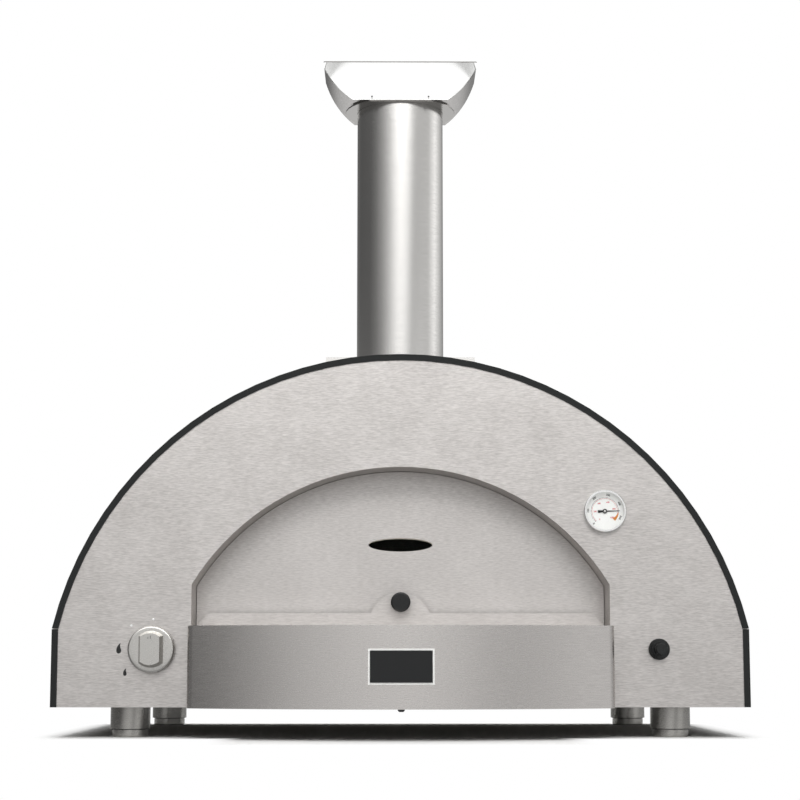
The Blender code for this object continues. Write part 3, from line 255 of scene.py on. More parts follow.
finishes = {
    # hairlines all over, and a wide soft sheen that fades from the arch to the foot
    "front_steel": brushedSteel("brushed stainless front sheet", frontLook),
    # a finer brush, so the bowed front shows darker and lighter upright bands
    "shelf_steel": brushedSteel("brushed stainless shelf", shelfLook),
    # as the front, with wider clouds and a little less light
    "door_steel": brushedSteel("brushed stainless door", doorLook),
    # the same sheet folded to a slope, which catches more light from above
    "rail_steel": brushedSteel("brushed stainless door rail", railLook),
    # bright drawn tube: sharp light and dark bands up its length, frayed by its grain; its near-white tone is
    # painted light that keeps the flange and the pipe's middle white
    "flue_steel": brushedSteel("satin stainless flue", flueLook),
    # thin bent sheet: soft grey wings, front and back edges painted dark as painted shade, upward faces painted
    # near white as painted light, and level faces that mirror the pipe, painted grey
    "cap_steel": brushedSteel("satin stainless flue cap", capLook),
    # a level plate that mirrors the white ground behind the oven, its level faces painted near white as a
    # painted reflection
    "lid_steel": brushedSteel("polished stainless cap lid", lidLook),
    # dark drawn tube with one soft light band down its middle
    "foot_steel": brushedSteel("drawn stainless foot tube", footLook),
    # dull mill face, grey in the chamber's half dark
    "inner_steel": brushedSteel("mill stainless chamber", innerLook),
    # a dull fold that stays a darker band round the door
    "reveal_steel": brushedSteel("folded stainless mouth reveal", revealLook),
    # nearly black with a weak sheen and a fine orange peel
    "vault_paint": paintedSheet("grey powder coated cover", {
        "light": "1d1f1f", "dark": "151717", "peel": 1.6, "fleck": 1.1, "roughness": 0.5, "bump": 0.3,
        "ior": 1.33}),
    # smoother and a little darker than the cover
    "badge_dark": paintedSheet("dark enamel badge", {
        "light": "1b1c1d", "dark": "151617", "peel": 0.9, "fleck": 0.7, "roughness": 0.42, "bump": 0.12,
        "ior": 1.36}),
    # a plain white line round the badge
    "badge_rim": softSurface("white lacquered badge rim", {
        "light": "f4f4f2", "dark": "e9e9e6", "grain": (1.0, 1.0, 1.0), "roughness": 0.4,
        "bump": 0.05, "relief": 0.05}),
    # pale grey with a satin sheen and bright rounds
    "knob_metal": turnedMetal("cast aluminium knob", {
        "light": "d2d0cc", "dark": "c4c2be", "grain": (5.0, 5.0, 0.8), "roughness": 0.30, "bump": 0.2}),
    # nearly white ring with a clean gloss
    "bright_ring": turnedMetal("polished chrome bezel", {
        "light": "fdfdfc", "dark": "f6f6f5", "grain": (3.0, 3.0, 0.6), "roughness": 0.22, "bump": 0.05}),
    # warm yellow metal with turned rings
    "brass": turnedMetal("machined brass", {
        "light": "cfae62", "dark": "b0904a", "grain": (2.0, 0.5, 2.0), "roughness": 0.3, "bump": 0.2}),
    # black with a small soft highlight
    "black_plastic": softSurface("moulded black nylon", {
        "light": "1c1d1d", "dark": "131414", "grain": (0.8, 0.8, 0.8), "roughness": 0.22,
        "bump": 0.1, "relief": 0.05, "ior": 1.42}),
    # dead black, hardly any highlight
    "rubber": softSurface("black moulded rubber", {
        "light": "222222", "dark": "161616", "grain": (1.2, 1.2, 1.2), "roughness": 0.7,
        "bump": 0.3, "relief": 0.1}),
    # off-white felted wool in long soft layers
    "fibre_blanket": softSurface("ceramic fibre blanket", {
        "light": "f1eee6", "dark": "d8d3c6", "grain": (14.0, 14.0, 2.5), "roughness": 0.95,
        "bump": 0.9, "relief": 1.2, "detail": 6.0}),
    # sandy tan with darker grit
    "fire_clay": softSurface("pressed fire clay tile", {
        "light": "d9c9ae", "dark": "b59c7c", "grain": (4.0, 4.0, 4.0), "roughness": 0.88,
        "bump": 0.6, "relief": 0.4, "detail": 8.0, "low": 0.32, "high": 0.62}),
    # creamy white with a wet gloss
    "electrode_ceramic": softSurface("glazed alumina", {
        "light": "f3f0ea", "dark": "e6e1d6", "grain": (3.0, 3.0, 3.0), "roughness": 0.22,
        "bump": 0.08, "relief": 0.05, "ior": 1.7}),
    # flat white under the glass
    "dial_white": softSurface("white enamel dial", {
        "light": "fdfdfb", "dark": "f6f6f3", "grain": (1.5, 1.5, 1.5), "roughness": 0.45,
        "bump": 0.04, "relief": 0.03}),
    # brick red, matt and a little soft
    "lead_jacket": softSurface("red silicone lead jacket", {
        "light": "9a2b22", "dark": "7c1f18", "grain": (2.0, 2.0, 2.0), "roughness": 0.55,
        "bump": 0.15, "relief": 0.08}),
    # printed ink lies flat and has no gloss of its own
    "ink_black": softSurface("black screen print", dict(inkLook, light="141414", dark="0c0c0c")),
    "ink_red": softSurface("red screen print", dict(inkLook, light="d0545a", dark="c0444a")),
    "ink_orange": softSurface("orange screen print", dict(inkLook, light="dd8620", dark="cd7816")),
    "ink_white": softSurface("white screen print", dict(inkLook, light="fdfdfd", dark="f4f4f4")),
    # small bright domes
    "screw_steel": turnedMetal("pressed stainless screw", {
        "light": "e2e0dd", "dark": "cfcdca", "grain": (1.0, 1.0, 1.0), "roughness": 0.3, "bump": 0.1}),
    # oxide black that still shines like metal; on the knob's index lines it is the painted shade of engraved
    # grooves
    "dark_screw_and_groove_shade": turnedMetal("blackened steel screw", {
        "light": "4a4a4c", "dark": "38383a", "grain": (1.0, 1.0, 1.0), "roughness": 0.4, "bump": 0.1}),
    # hardly there, but for a thin reflection
    "lens_glass": clearGlass("clear glass dial window", {
        "tint": "fdfefe", "smear": 6.0, "smearRoughness": 0.05, "ior": 1.45, "shows": 0.3}),
}
print("finishes made:", len(finishes))

# the finish that each node of the frame wears
worn = {
    "vault_paint": ["vault_cover", "side_panel_left", "side_panel_right", "rear_panel"],
    "front_steel": ["front_panel"],
    "reveal_steel": ["mouth_reveal"],
    "shelf_steel": ["front_shelf"],
    "door_steel": ["door_outer_panel"],
    "rail_steel": ["door_rail"],
    "flue_steel": ["flue_pipe", "flue_base_flange", "flue_spigot"],
    "cap_steel": ["flue_cap_shell", "flue_cap_collar"],
    "lid_steel": ["flue_cap_lid"],
    "foot_steel": ["foot_tube_front_left", "foot_tube_front_right", "foot_tube_rear_left",
                   "foot_tube_rear_right", "foot_adjuster_front_left", "foot_adjuster_front_right",
                   "foot_adjuster_rear_left", "foot_adjuster_rear_right", "valve_plunger"],
    "inner_steel": ["inner_vault", "chamber_front_wall", "chamber_rear_wall", "door_inner_panel",
                    "floor_tray", "base_pan", "burner_tube", "burner_bracket", "thermometer_stem"],
    "knob_metal": ["gas_knob"],
    "bright_ring": ["thermometer_case"],
    "black_plastic": ["igniter_button", "igniter_housing", "igniter_nut", "door_handle_knob",
                      "thermometer_needle"],
    "rubber": ["shelf_bumper"],
    "fibre_blanket": ["vault_insulation", "rear_insulation", "floor_insulation", "door_insulation"],
    "fire_clay": ["hearth_tile_left", "hearth_tile_right"],
    "electrode_ceramic": ["spark_electrode"],
    "brass": ["gas_valve_body", "valve_spindle", "gas_inlet_fitting", "gas_feed_tube",
              "gas_manifold_pipe"],
    "dial_white": ["thermometer_dial"],
    "lens_glass": ["thermometer_lens"],
    "badge_dark": ["badge_face"],
    "badge_rim": ["badge_backing"],
    "lead_jacket": ["ignition_lead"],
    "screw_steel": ["door_handle_bolt"],
}


def newTree(name, sizes):
    # a Geometry Nodes tree with named inputs for its sizes; gives the tree and its input node
    tree = bpy.data.node_groups.new(name, "GeometryNodeTree")
    tree.interface.new_socket("Geometry", in_out="INPUT", socket_type="NodeSocketGeometry")
    for label, value in sizes.items():
        kind = "NodeSocketInt" if isinstance(value, int) else "NodeSocketFloat"
        tree.interface.new_socket(label, in_out="INPUT", socket_type=kind).default_value = value
    tree.interface.new_socket("Geometry", in_out="OUTPUT", socket_type="NodeSocketGeometry")
    return tree, addNode(tree, "NodeGroupInput").outputs


def endTree(tree, shape, finish=None):
    # a tree that grows a piece ends with real geometry in its finish
    if finish:
        shape = addNode(tree, "GeometryNodeRealizeInstances", {"Geometry": shape}).outputs[0]
        shape = addNode(tree, "GeometryNodeSetMaterial", {
            "Geometry": shape, "Material": finishes[finish]}).outputs[0]
    addNode(tree, "NodeGroupOutput", {0: shape})


# the frame's solids come as loose flat facets: this welds them and makes their rounds smooth
smoothing = {"weld": 0.02, "sharpAbove": 34, "ownSharpAbove": 35}
roundTree, given = newTree("smooth rounds", {
    "Weld": smoothing["weld"] * mm, "Sharp Above": math.radians(smoothing["sharpAbove"])})
welded = addNode(roundTree, "GeometryNodeMergeByDistance", {
    "Geometry": given["Geometry"], "Distance": given["Weld"]})
edge = addNode(roundTree, "FunctionNodeCompare", {
    "A": addNode(roundTree, "GeometryNodeInputMeshEdgeAngle").outputs["Unsigned Angle"],
    "B": given["Sharp Above"]}, operation="GREATER_THAN")
smooth = addNode(roundTree, "GeometryNodeSetMeshNormal", {
    "Mesh": welded.outputs[0], "Remove Custom": True, "Edge Sharpness": edge.outputs[0],
    "Face Sharpness": False}, mode="SHARPNESS")
endTree(roundTree, smooth.outputs[0])

dressed = set()
for finish, names in worn.items():
    for name in names:
        nodes[name].data.materials.clear()
        nodes[name].data.materials.append(finishes[finish])
        nodes[name].modifiers.new("smooth rounds", "NODES").node_group = roundTree
        nodes[name].modifiers.new("flat faces stay flat", "WEIGHTED_NORMAL").keep_sharp = True
        dressed.add(name)
print("undressed nodes:", sorted(set(nodes) - dressed))


def addPiece(name, mesh, body, finish=None):
    # a finished piece: its place is in its mesh, and its object stays at the origin
    piece = bpy.data.objects.new(name, mesh)
    bpy.context.scene.collection.objects.link(piece)
    if finish:
        mesh.materials.clear()
        mesh.materials.append(finishes[finish])
    mesh.shade_smooth()
    mesh.set_sharp_from_angle(angle=math.radians(smoothing["ownSharpAbove"]))
    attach(piece, body)
    return piece


def growMesh(tree, values, places=None, facings=None):
    # run a tree on a host of points and keep the result as a plain mesh
    host = bpy.data.objects.new("host", bpy.data.meshes.new("host"))
    host.data.from_pydata(places or [(0, 0, 0)], [], [])
    if facings:
        facing = host.data.attributes.new("facing", "FLOAT_VECTOR", "POINT")
        for item, way in zip(facing.data, facings):
            item.vector = way
    bpy.context.scene.collection.objects.link(host)
    change = host.modifiers.new("grow", "NODES")
    change.node_group = tree
    for item in tree.interface.items_tree:
        if item.in_out == "INPUT" and item.name in values:
            change[item.identifier] = values[item.name]
    graph = bpy.context.evaluated_depsgraph_get()
    mesh = bpy.data.meshes.new_from_object(host.evaluated_get(graph))
    bpy.data.objects.remove(host)
    return mesh


# a head is where a rod and a ball overlap: sizes in mm, and dome is the ball's radius over the head's
headShape = {"radius": 4.0, "height": 2.0, "dome": 1.4, "key": 1.6, "around": 24,
             "ballAround": 32, "ballRings": 20}


def headTree(name, finish, socket):
    # a round head with a domed top, with or without a six-sided key socket
    tree, given = newTree(name, {
        "Radius": headShape["radius"] * mm, "Height": headShape["height"] * mm, "Dome": headShape["dome"],
        "Key": headShape["key"] * mm})
    depth = addNode(tree, "ShaderNodeMath", {0: given["Height"], 1: 2.0}, operation="MULTIPLY")
    body = addNode(tree, "GeometryNodeMeshCylinder", {
        "Vertices": headShape["around"], "Radius": given["Radius"], "Depth": depth.outputs[0]})
    reach = addNode(tree, "ShaderNodeMath", {0: given["Radius"], 1: given["Dome"]}, operation="MULTIPLY")
    ball = addNode(tree, "GeometryNodeMeshUVSphere", {
        "Segments": headShape["ballAround"], "Rings": headShape["ballRings"], "Radius": reach.outputs[0]})
    drop = addNode(tree, "ShaderNodeMath", {0: given["Height"], 1: reach.outputs[0]}, operation="SUBTRACT")
    lower = addNode(tree, "ShaderNodeCombineXYZ", {"Z": drop.outputs[0]})
    ball = addNode(tree, "GeometryNodeTransform", {
        "Geometry": ball.outputs[0], "Translation": lower.outputs[0]})
    head = addNode(tree, "GeometryNodeMeshBoolean", {"Mesh 2": body.outputs[0]}, operation="INTERSECT")
    tree.links.new(ball.outputs[0], head.inputs["Mesh 2"])
    if socket:
        key = addNode(tree, "GeometryNodeMeshCylinder", {
            "Vertices": 6, "Radius": given["Key"], "Depth": given["Height"]})
        lift = addNode(tree, "ShaderNodeCombineXYZ", {"Z": given["Height"]})
        key = addNode(tree, "GeometryNodeTransform", {
            "Geometry": key.outputs[0], "Translation": lift.outputs[0]})
        head = addNode(tree, "GeometryNodeMeshBoolean", {
            "Mesh 1": head.outputs[0], "Mesh 2": key.outputs[0]}, operation="DIFFERENCE")
    facing = addNode(tree, "GeometryNodeInputNamedAttribute", {"Name": "facing"},
                     data_type="FLOAT_VECTOR")
    turn = addNode(tree, "FunctionNodeAlignRotationToVector", {"Vector": facing.outputs[0]}, axis="Z")
    spots = addNode(tree, "GeometryNodeMeshToPoints", {"Mesh": given["Geometry"]})
    heads = addNode(tree, "GeometryNodeInstanceOnPoints", {
        "Points": spots.outputs[0], "Instance": head.outputs[0], "Rotation": turn.outputs[0]})
    endTree(tree, heads.outputs[0], finish)
    return tree


screwTree = headTree("socket screws", "screw_steel", True)
darkScrewTree = headTree("dark socket screws", "dark_screw_and_groove_shade", True)
pipTree = headTree("raised pips", "ink_white", False)

# screws that hold the flue flange to the vault, and the rear panel and base to their folds
fixings = {"flangeInset": 13.0, "flangeHead": 3.6, "flangeHeight": 1.8, "panelHead": 4.2, "panelHeight": 2.0,
           "rearInset": 17.0, "rearCount": 9, "rearFrom": 20, "rearSweep": 140,
           "vaultRadius": 503.6, "vaultCentre": 40.2,
           "rearFootCount": 5, "rearFootUp": 12.0, "baseInset": 22.0, "baseCount": 7}


def addScrews(name, tree, kind, spots, facing):
    # one piece of equal screws that all face the same way
    addPiece(name, growMesh(tree, {
        "Radius": fixings[kind + "Head"] * mm, "Height": fixings[kind + "Height"] * mm}, spots,
        [facing] * len(spots)), "oven")


low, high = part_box("flue_base_flange")
inset = fixings["flangeInset"] * mm
spots = [(x, y, high[2]) for x in (low[0] + inset, high[0] - inset)
         for y in (low[1] + inset, high[1] - inset)]
addScrews("flue_flange_screws", screwTree, "flange", spots, (0, 0, 1))

low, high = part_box("rear_panel")
spots = []
reach = (fixings["vaultRadius"] - fixings["rearInset"]) * mm
for index in range(fixings["rearCount"]):
    angle = math.radians(fixings["rearFrom"] + fixings["rearSweep"] * index / (fixings["rearCount"] - 1))
    spots.append((reach * math.cos(angle), high[1], fixings["vaultCentre"] * mm + reach * math.sin(angle)))
inset = fixings["baseInset"] * mm
for index in range(fixings["rearFootCount"]):
    spots.append((low[0] + inset + (high[0] - low[0] - 2 * inset) * index / (fixings["rearFootCount"] - 1),
                  high[1], low[2] + fixings["rearFootUp"] * mm))
addScrews("rear_panel_screws", darkScrewTree, "panel", spots, (0, 1, 0))

low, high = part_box("base_pan")
spots = []
for index in range(fixings["baseCount"]):
    along = low[1] + inset + (high[1] - low[1] - 2 * inset) * index / (fixings["baseCount"] - 1)
    spots += [(low[0] + inset, along, low[2]), (high[0] - inset, along, low[2])]
addScrews("base_pan_screws", screwTree, "panel", spots, (0, 0, -1))
print("screws made")

# studs that hold the collar to the cap: a plain shank with a small dark dome on it
studs = {"x": 43.0, "y": 61.0, "sheet": 1.2, "shank": 0.8, "length": 6.4, "shankDome": 3.0,
         "dome": 1.1, "domeHeight": 1.4, "domeRound": 1.1}
pipeMiddle = sum(corner[1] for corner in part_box("flue_pipe")) / 2
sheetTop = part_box("flue_cap_shell")[0][2] + studs["sheet"] * mm
spots = [(sx * studs["x"] * mm, pipeMiddle + sy * studs["y"] * mm, sheetTop)
         for sx in (-1, 1) for sy in (-1, 1)]
up = [(0, 0, 1)] * len(spots)
addPiece("cap_stud_shanks", growMesh(pipTree, {
    "Radius": studs["shank"] * mm, "Height": studs["length"] * mm, "Dome": studs["shankDome"]}, spots, up),
    "oven", "screw_steel")
tips = [(x, y, z + studs["length"] * mm) for x, y, z in spots]
addPiece("cap_stud_domes", growMesh(pipTree, {
    "Radius": studs["dome"] * mm, "Height": studs["domeHeight"] * mm, "Dome": studs["domeRound"]}, tips, up),
    "oven", "dark_screw_and_groove_shade")

# weld seam up the back of the rolled flue pipe, a half round bead sunk a little into it
seam = {"width": 2.6, "proud": 0.35, "sunk": 0.1, "inset": 1.0, "sides": 8}
low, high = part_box("flue_pipe")
bead = bmesh.new()
rings = []
for z in (low[2] + seam["inset"] * mm, high[2] - seam["inset"] * mm):
    ring = []
    for index in range(seam["sides"] + 1):
        angle = math.pi * index / seam["sides"]
        ring.append(bead.verts.new((
            seam["width"] / 2 * mm * math.cos(angle),
            high[1] - seam["sunk"] * mm + (seam["proud"] + seam["sunk"]) * mm * math.sin(angle), z)))
    rings.append(ring)
for index in range(len(rings[0])):
    other = (index + 1) % len(rings[0])
    bead.faces.new((rings[0][index], rings[0][other], rings[1][other], rings[1][index]))
for ring in rings:
    bead.faces.new(ring)
bmesh.ops.recalc_face_normals(bead, faces=bead.faces)
seamMesh = bpy.data.meshes.new("seam")
bead.to_mesh(seamMesh)
bead.free()
addPiece("flue_pipe_seam", seamMesh, "oven", "flue_steel")

# a thin dark ring round each foot's screw, tight under its tube: painted shade, a dark line that stands for the
# shadowed gap between tube and screw
footGapShade = {"wider": 0.3, "height": 1.2, "dome": 30.0}
spots = []
for corner in ("front_left", "front_right", "rear_left", "rear_right"):
    low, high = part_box("foot_adjuster_" + corner)
    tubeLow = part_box("foot_tube_" + corner)[0]
    spots.append(((low[0] + high[0]) / 2, (low[1] + high[1]) / 2, tubeLow[2]))
ringRadius = (high[0] - low[0]) / 2 + footGapShade["wider"] * mm
addPiece("foot_gap_shade_rings", growMesh(pipTree, {
    "Radius": ringRadius, "Height": footGapShade["height"] * mm, "Dome": footGapShade["dome"]}, spots,
    [(0, 0, -1)] * len(spots)), "oven", "rubber")
print("flue and foot parts made")

# everything printed on a face that looks at the user is drawn flat, stood up and set on it
printing = {"sunk": 0.02, "bolder": 0.03, "curve": 3, "weld": 0.001}
stand = Matrix.Rotation(math.radians(90), 4, "X")


def onFront(x, y, z, turn=0.0):
    # the matrix that stands a flat drawing up at its place, turned in its own plane
    return Matrix.Translation((x, y, z)) @ stand @ Matrix.Rotation(turn, 4, "Z")


def wordMesh(words, size, thick):
    # numbers as a flat mesh round their own middle, a little bolder than the plain font
    letters = bpy.data.curves.new("letters", "FONT")
    letters.body = words
    letters.size = size * mm
    letters.align_x = "CENTER"
    letters.align_y = "CENTER"
    letters.extrude = thick / 2 * mm
    letters.resolution_u = printing["curve"]
    letters.offset = printing["bolder"] * size * mm
    holder = bpy.data.objects.new("letters", letters)
    bpy.context.scene.collection.objects.link(holder)
    graph = bpy.context.evaluated_depsgraph_get()
    mesh = bpy.data.meshes.new_from_object(holder.evaluated_get(graph))
    bpy.data.objects.remove(holder)
    return mesh


def joinMeshes(name, parts):
    # parts are meshes with the matrix that puts each in its place
    whole = bmesh.new()
    for mesh, matrix in parts:
        mesh.transform(matrix)
        whole.from_mesh(mesh)
    bmesh.ops.remove_doubles(whole, verts=whole.verts, dist=printing["weld"] * mm)
    joined = bpy.data.meshes.new(name)
    whole.to_mesh(joined)
    whole.free()
    return joined


def plateMesh(name, outline, thick):
    # a flat plate in the XY plane from an outline in mm
    plate = bmesh.new()
    face = plate.faces.new([plate.verts.new((x * mm, y * mm, -thick / 2 * mm)) for x, y in outline])
    pushed = bmesh.ops.extrude_face_region(plate, geom=[face])["geom"]
    top = [part for part in pushed if isinstance(part, bmesh.types.BMVert)]
    bmesh.ops.translate(plate, verts=top, vec=(0, 0, thick * mm))
    bmesh.ops.recalc_face_normals(plate, faces=plate.faces)
    bmesh.ops.triangulate(plate, faces=[face for face in plate.faces if len(face.verts) > 4])
    mesh = bpy.data.meshes.new(name)
    plate.to_mesh(mesh)
    plate.free()
    return mesh


def tickTree(name, finish):
    # marks set round an arc, every so many of them longer, and a thin line along their foot
    tree, given = newTree(name, {
        "Count": 51, "Radius": 19 * mm, "Start": 0.0, "Sweep": 1.0, "Length": 1 * mm, "Width": 0.2 * mm,
        "Thick": 0.1 * mm, "Long Every": 10, "Long Scale": 1.8, "Line": 0.2 * mm, "Line Steps": 97})
    arc = addNode(tree, "GeometryNodeCurveArc", {
        "Resolution": given["Count"], "Radius": given["Radius"], "Start Angle": given["Start"],
        "Sweep Angle": given["Sweep"]})
    marks = addNode(tree, "GeometryNodeCurveToPoints", {"Curve": arc.outputs[0]}, mode="EVALUATED")
    turn = addNode(tree, "FunctionNodeAlignRotationToVector", {"Vector": marks.outputs["Tangent"]}, axis="X")
    size = addNode(tree, "ShaderNodeCombineXYZ", {
        "X": given["Width"], "Y": given["Length"], "Z": given["Thick"]})
    bar = addNode(tree, "GeometryNodeMeshCube", {"Size": size.outputs[0]})
    place = addNode(tree, "GeometryNodeInputIndex")
    rest = addNode(tree, "ShaderNodeMath", {0: place.outputs[0], 1: given["Long Every"]},
                   operation="MODULO")
    isLong = addNode(tree, "ShaderNodeMath", {0: rest.outputs[0], 1: 0.5}, operation="LESS_THAN")
    more = addNode(tree, "ShaderNodeMath", {0: given["Long Scale"], 1: 1.0}, operation="SUBTRACT")
    tall = addNode(tree, "ShaderNodeMath", {0: isLong.outputs[0], 1: more.outputs[0], 2: 1.0},
                   operation="MULTIPLY_ADD")
    scale = addNode(tree, "ShaderNodeCombineXYZ", {"X": 1.0, "Y": tall.outputs[0], "Z": 1.0})
    bars = addNode(tree, "GeometryNodeInstanceOnPoints", {
        "Points": marks.outputs["Points"], "Instance": bar.outputs[0], "Rotation": turn.outputs[0],
        "Scale": scale.outputs[0]})
    fine = addNode(tree, "GeometryNodeCurveArc", {
        "Resolution": given["Line Steps"], "Radius": given["Radius"], "Start Angle": given["Start"],
        "Sweep Angle": given["Sweep"]})
    section = addNode(tree, "GeometryNodeCurvePrimitiveQuadrilateral", {
        "Width": given["Line"], "Height": given["Thick"]})
    line = addNode(tree, "GeometryNodeCurveToMesh", {
        "Curve": fine.outputs[0], "Profile Curve": section.outputs[0], "Fill Caps": True})
    both = addNode(tree, "GeometryNodeJoinGeometry", {"Geometry": bars.outputs[0]})
    tree.links.new(line.outputs[0], both.inputs[0])
    endTree(tree, both.outputs[0], finish)
    return tree


# the dial: black outer scale, red inner scale, numbers to both, an orange band at the hot end
dial = {"marks": 51, "longEvery": 10, "longScale": 2.0, "markWidth": 0.26, "line": 0.28, "thick": 0.14,
        "start": 228.0, "sweep": -250.0,
        "scales": {"dial_scale_black": ("ink_black", 19.6, 0.9), "dial_scale_red": ("ink_red", 18.2, 0.9)},
        "numbers": 6, "blackUnit": 100, "blackAt": 23.4, "blackSize": 3.9, "blackStep": -50,
        "redUnit": 200, "redAt": 13.6, "redSize": 3.0, "redStart": 237.0, "redStep": -55.6,
        "bandFrom": -6.0, "bandTo": -43.0, "bandSteps": 12, "bandOuter": 19.7, "bandWidth": 0.8,
        "bandInner": 14.6, "bandProud": 0.04, "pin": 1.7, "pinHeight": 0.7, "pinDome": 1.6}
low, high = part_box("thermometer_dial")
dialX = (low[0] + high[0]) / 2
dialZ = (low[2] + high[2]) / 2
printY = low[1] - printing["sunk"] * mm
facePlace = onFront(dialX, printY, dialZ)
for name, (finish, radius, length) in dial["scales"].items():
    scaleMesh = growMesh(tickTree(name, finish), {
        "Count": dial["marks"], "Radius": radius * mm, "Start": math.radians(dial["start"]),
        "Sweep": math.radians(dial["sweep"]), "Length": length * mm, "Width": dial["markWidth"] * mm,
        "Thick": dial["thick"] * mm, "Long Every": dial["longEvery"], "Long Scale": dial["longScale"],
        "Line": dial["line"] * mm})
    scaleMesh.transform(facePlace)
    addPiece(name, scaleMesh, "oven")
parts = []
for index in range(dial["numbers"]):
    angle = dial["start"] + dial["blackStep"] * index
    way = math.radians(angle)
    spot = onFront(dialX + dial["blackAt"] * mm * math.cos(way), printY,
                   dialZ + dial["blackAt"] * mm * math.sin(way), math.radians(angle - 90))
    parts.append((wordMesh(str(dial["blackUnit"] * index), dial["blackSize"], dial["thick"]), spot))
addPiece("dial_numbers_black", joinMeshes("dialNumbers", parts), "oven", "ink_black")
parts = []
for index in range(dial["numbers"]):
    way = math.radians(dial["redStart"] + dial["redStep"] * index)
    spot = onFront(dialX + dial["redAt"] * mm * math.cos(way), printY,
                   dialZ + dial["redAt"] * mm * math.sin(way))
    parts.append((wordMesh(str(dial["redUnit"] * index), dial["redSize"], dial["thick"]), spot))
addPiece("dial_numbers_red", joinMeshes("dialRedNumbers", parts), "oven", "ink_red")
outer = []
inner = []
for index in range(dial["bandSteps"] + 1):
    share = index / dial["bandSteps"]
    way = math.radians(dial["bandFrom"] + (dial["bandTo"] - dial["bandFrom"]) * share)
    far = dial["bandOuter"]
    near = far - dial["bandWidth"] - (far - dial["bandWidth"] - dial["bandInner"]) * share
    outer.append((far * math.cos(way), far * math.sin(way)))
    inner.append((near * math.cos(way), near * math.sin(way)))
band = plateMesh("band", outer + inner[::-1], dial["thick"] + dial["bandProud"])
band.transform(facePlace)
addPiece("dial_hot_band", band, "oven", "ink_orange")
low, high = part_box("thermometer_needle")
addPiece("needle_pin", growMesh(pipTree, {
    "Radius": dial["pin"] * mm, "Height": dial["pinHeight"] * mm, "Dome": dial["pinDome"]},
    [(dialX, low[1], dialZ)], [(0, -1, 0)]), "thermometer_needle", "screw_steel")
print("dial printed")

# marks beside the gas knob: two flames for full and low, and two white pips for the stops
knobMarks = {"knob": (-350.0, 123.5), "pips": ((1.6, 41.6), (-29.3, 33.1)), "pipRadius": 1.7, "pipHeight": 1.1,
             "pipDome": 1.15, "flames": ((-46.4, 1.4, 14.9), (-37.2, -31.6, 10.8)), "thick": 0.12,
             "index": ((-2.4, 3.0), (0.9, 4.4)), "indexHalfWidth": 0.35, "indexFoot": 14.2}
# a flame's outline in shares of its height, from its tip down the right side and up the left
flame = [(0.17, 0.5), (0.13, 0.36), (0.12, 0.22), (0.15, 0.08), (0.2, -0.06), (0.235, -0.2), (0.225, -0.32),
         (0.16, -0.43), (0.06, -0.49), (-0.05, -0.5), (-0.15, -0.45), (-0.215, -0.35), (-0.235, -0.22),
         (-0.22, -0.07), (-0.185, 0.07), (-0.12, 0.2), (-0.03, 0.33), (0.07, 0.43)]
knobX, knobZ = knobMarks["knob"]
spots = [((knobX + dx) * mm, frontPlane, (knobZ + dz) * mm) for dx, dz in knobMarks["pips"]]
addPiece("knob_stop_pips", growMesh(pipTree, {
    "Radius": knobMarks["pipRadius"] * mm, "Height": knobMarks["pipHeight"] * mm, "Dome": knobMarks["pipDome"]},
    spots, [(0, -1, 0)] * len(spots)), "oven")
parts = []
for dx, dz, tall in knobMarks["flames"]:
    outline = [(x * tall, z * tall) for x, z in flame]
    parts.append((plateMesh("flame", outline[::-1], knobMarks["thick"]),
                  onFront((knobX + dx) * mm, frontPlane - printing["sunk"] * mm, (knobZ + dz) * mm)))
addPiece("knob_flame_marks", joinMeshes("flames", parts), "oven", "ink_black")
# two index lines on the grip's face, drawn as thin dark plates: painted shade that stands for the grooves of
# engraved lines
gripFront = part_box("gas_knob")[0][1]
parts = []
for dx, tall in knobMarks["index"]:
    half = knobMarks["indexHalfWidth"]
    outline = [(-half, -tall / 2), (half, -tall / 2), (half, tall / 2), (-half, tall / 2)]
    parts.append((plateMesh("mark", outline, knobMarks["thick"]),
                  onFront((knobX + dx) * mm, gripFront - printing["sunk"] * mm,
                          (knobZ + knobMarks["indexFoot"] + tall / 2) * mm)))
addPiece("knob_index_groove_shade", joinMeshes("indexGrooveShade", parts), "gas_knob", "dark_screw_and_groove_shade")
print("control marks made")

# camera at the photographed view, two lamps and the floor; sizes in metres, and power in watts
studio = {
    "eye": (-0.017, -2.9492, 0.1127), "tilt": 7.691, "turn": -0.338, "lens": 85.635, "film": 36.0,
    "lamps": {
        "overhead box": {"at": (0, 2.2, 2.7), "aim": (0, 0, 0.2), "wide": 2.6, "deep": 1.6, "power": 80},
        "front box": {"at": (0.2, -2.7, 2.9), "aim": (0, 0, 0.3), "wide": 2.4, "deep": 1.2, "power": 46},
    },
    "floor": "efefee", "floorReach": 30,
    "shadow": (("base_pan", -0.01, -0.01), ("front_shelf", -0.08, 0.045)), "fade": 0.05,
}
camera = bpy.data.objects.new("camera", bpy.data.cameras.new("camera"))
bpy.context.scene.collection.objects.link(camera)
camera.location = studio["eye"]
camera.rotation_euler = (math.radians(90 + studio["tilt"]), 0, math.radians(studio["turn"]))
camera.data.lens = studio["lens"]
camera.data.sensor_width = studio["film"]
camera.data.clip_end = 100
bpy.context.scene.camera = camera

for name, look in studio["lamps"].items():
    lamp = bpy.data.objects.new(name, bpy.data.lights.new(name, "AREA"))
    lamp.data.shape = "RECTANGLE"
    lamp.data.size = look["wide"]
    lamp.data.size_y = look["deep"]
    lamp.data.energy = look["power"]
    lamp.location = look["at"]
    lamp.rotation_euler = (Vector(look["at"]) - Vector(look["aim"])).to_track_quat("Z", "Y").to_euler()
    lamp.visible_glossy = False  # the steel mirrors the studio walls alone
    bpy.context.scene.collection.objects.link(lamp)

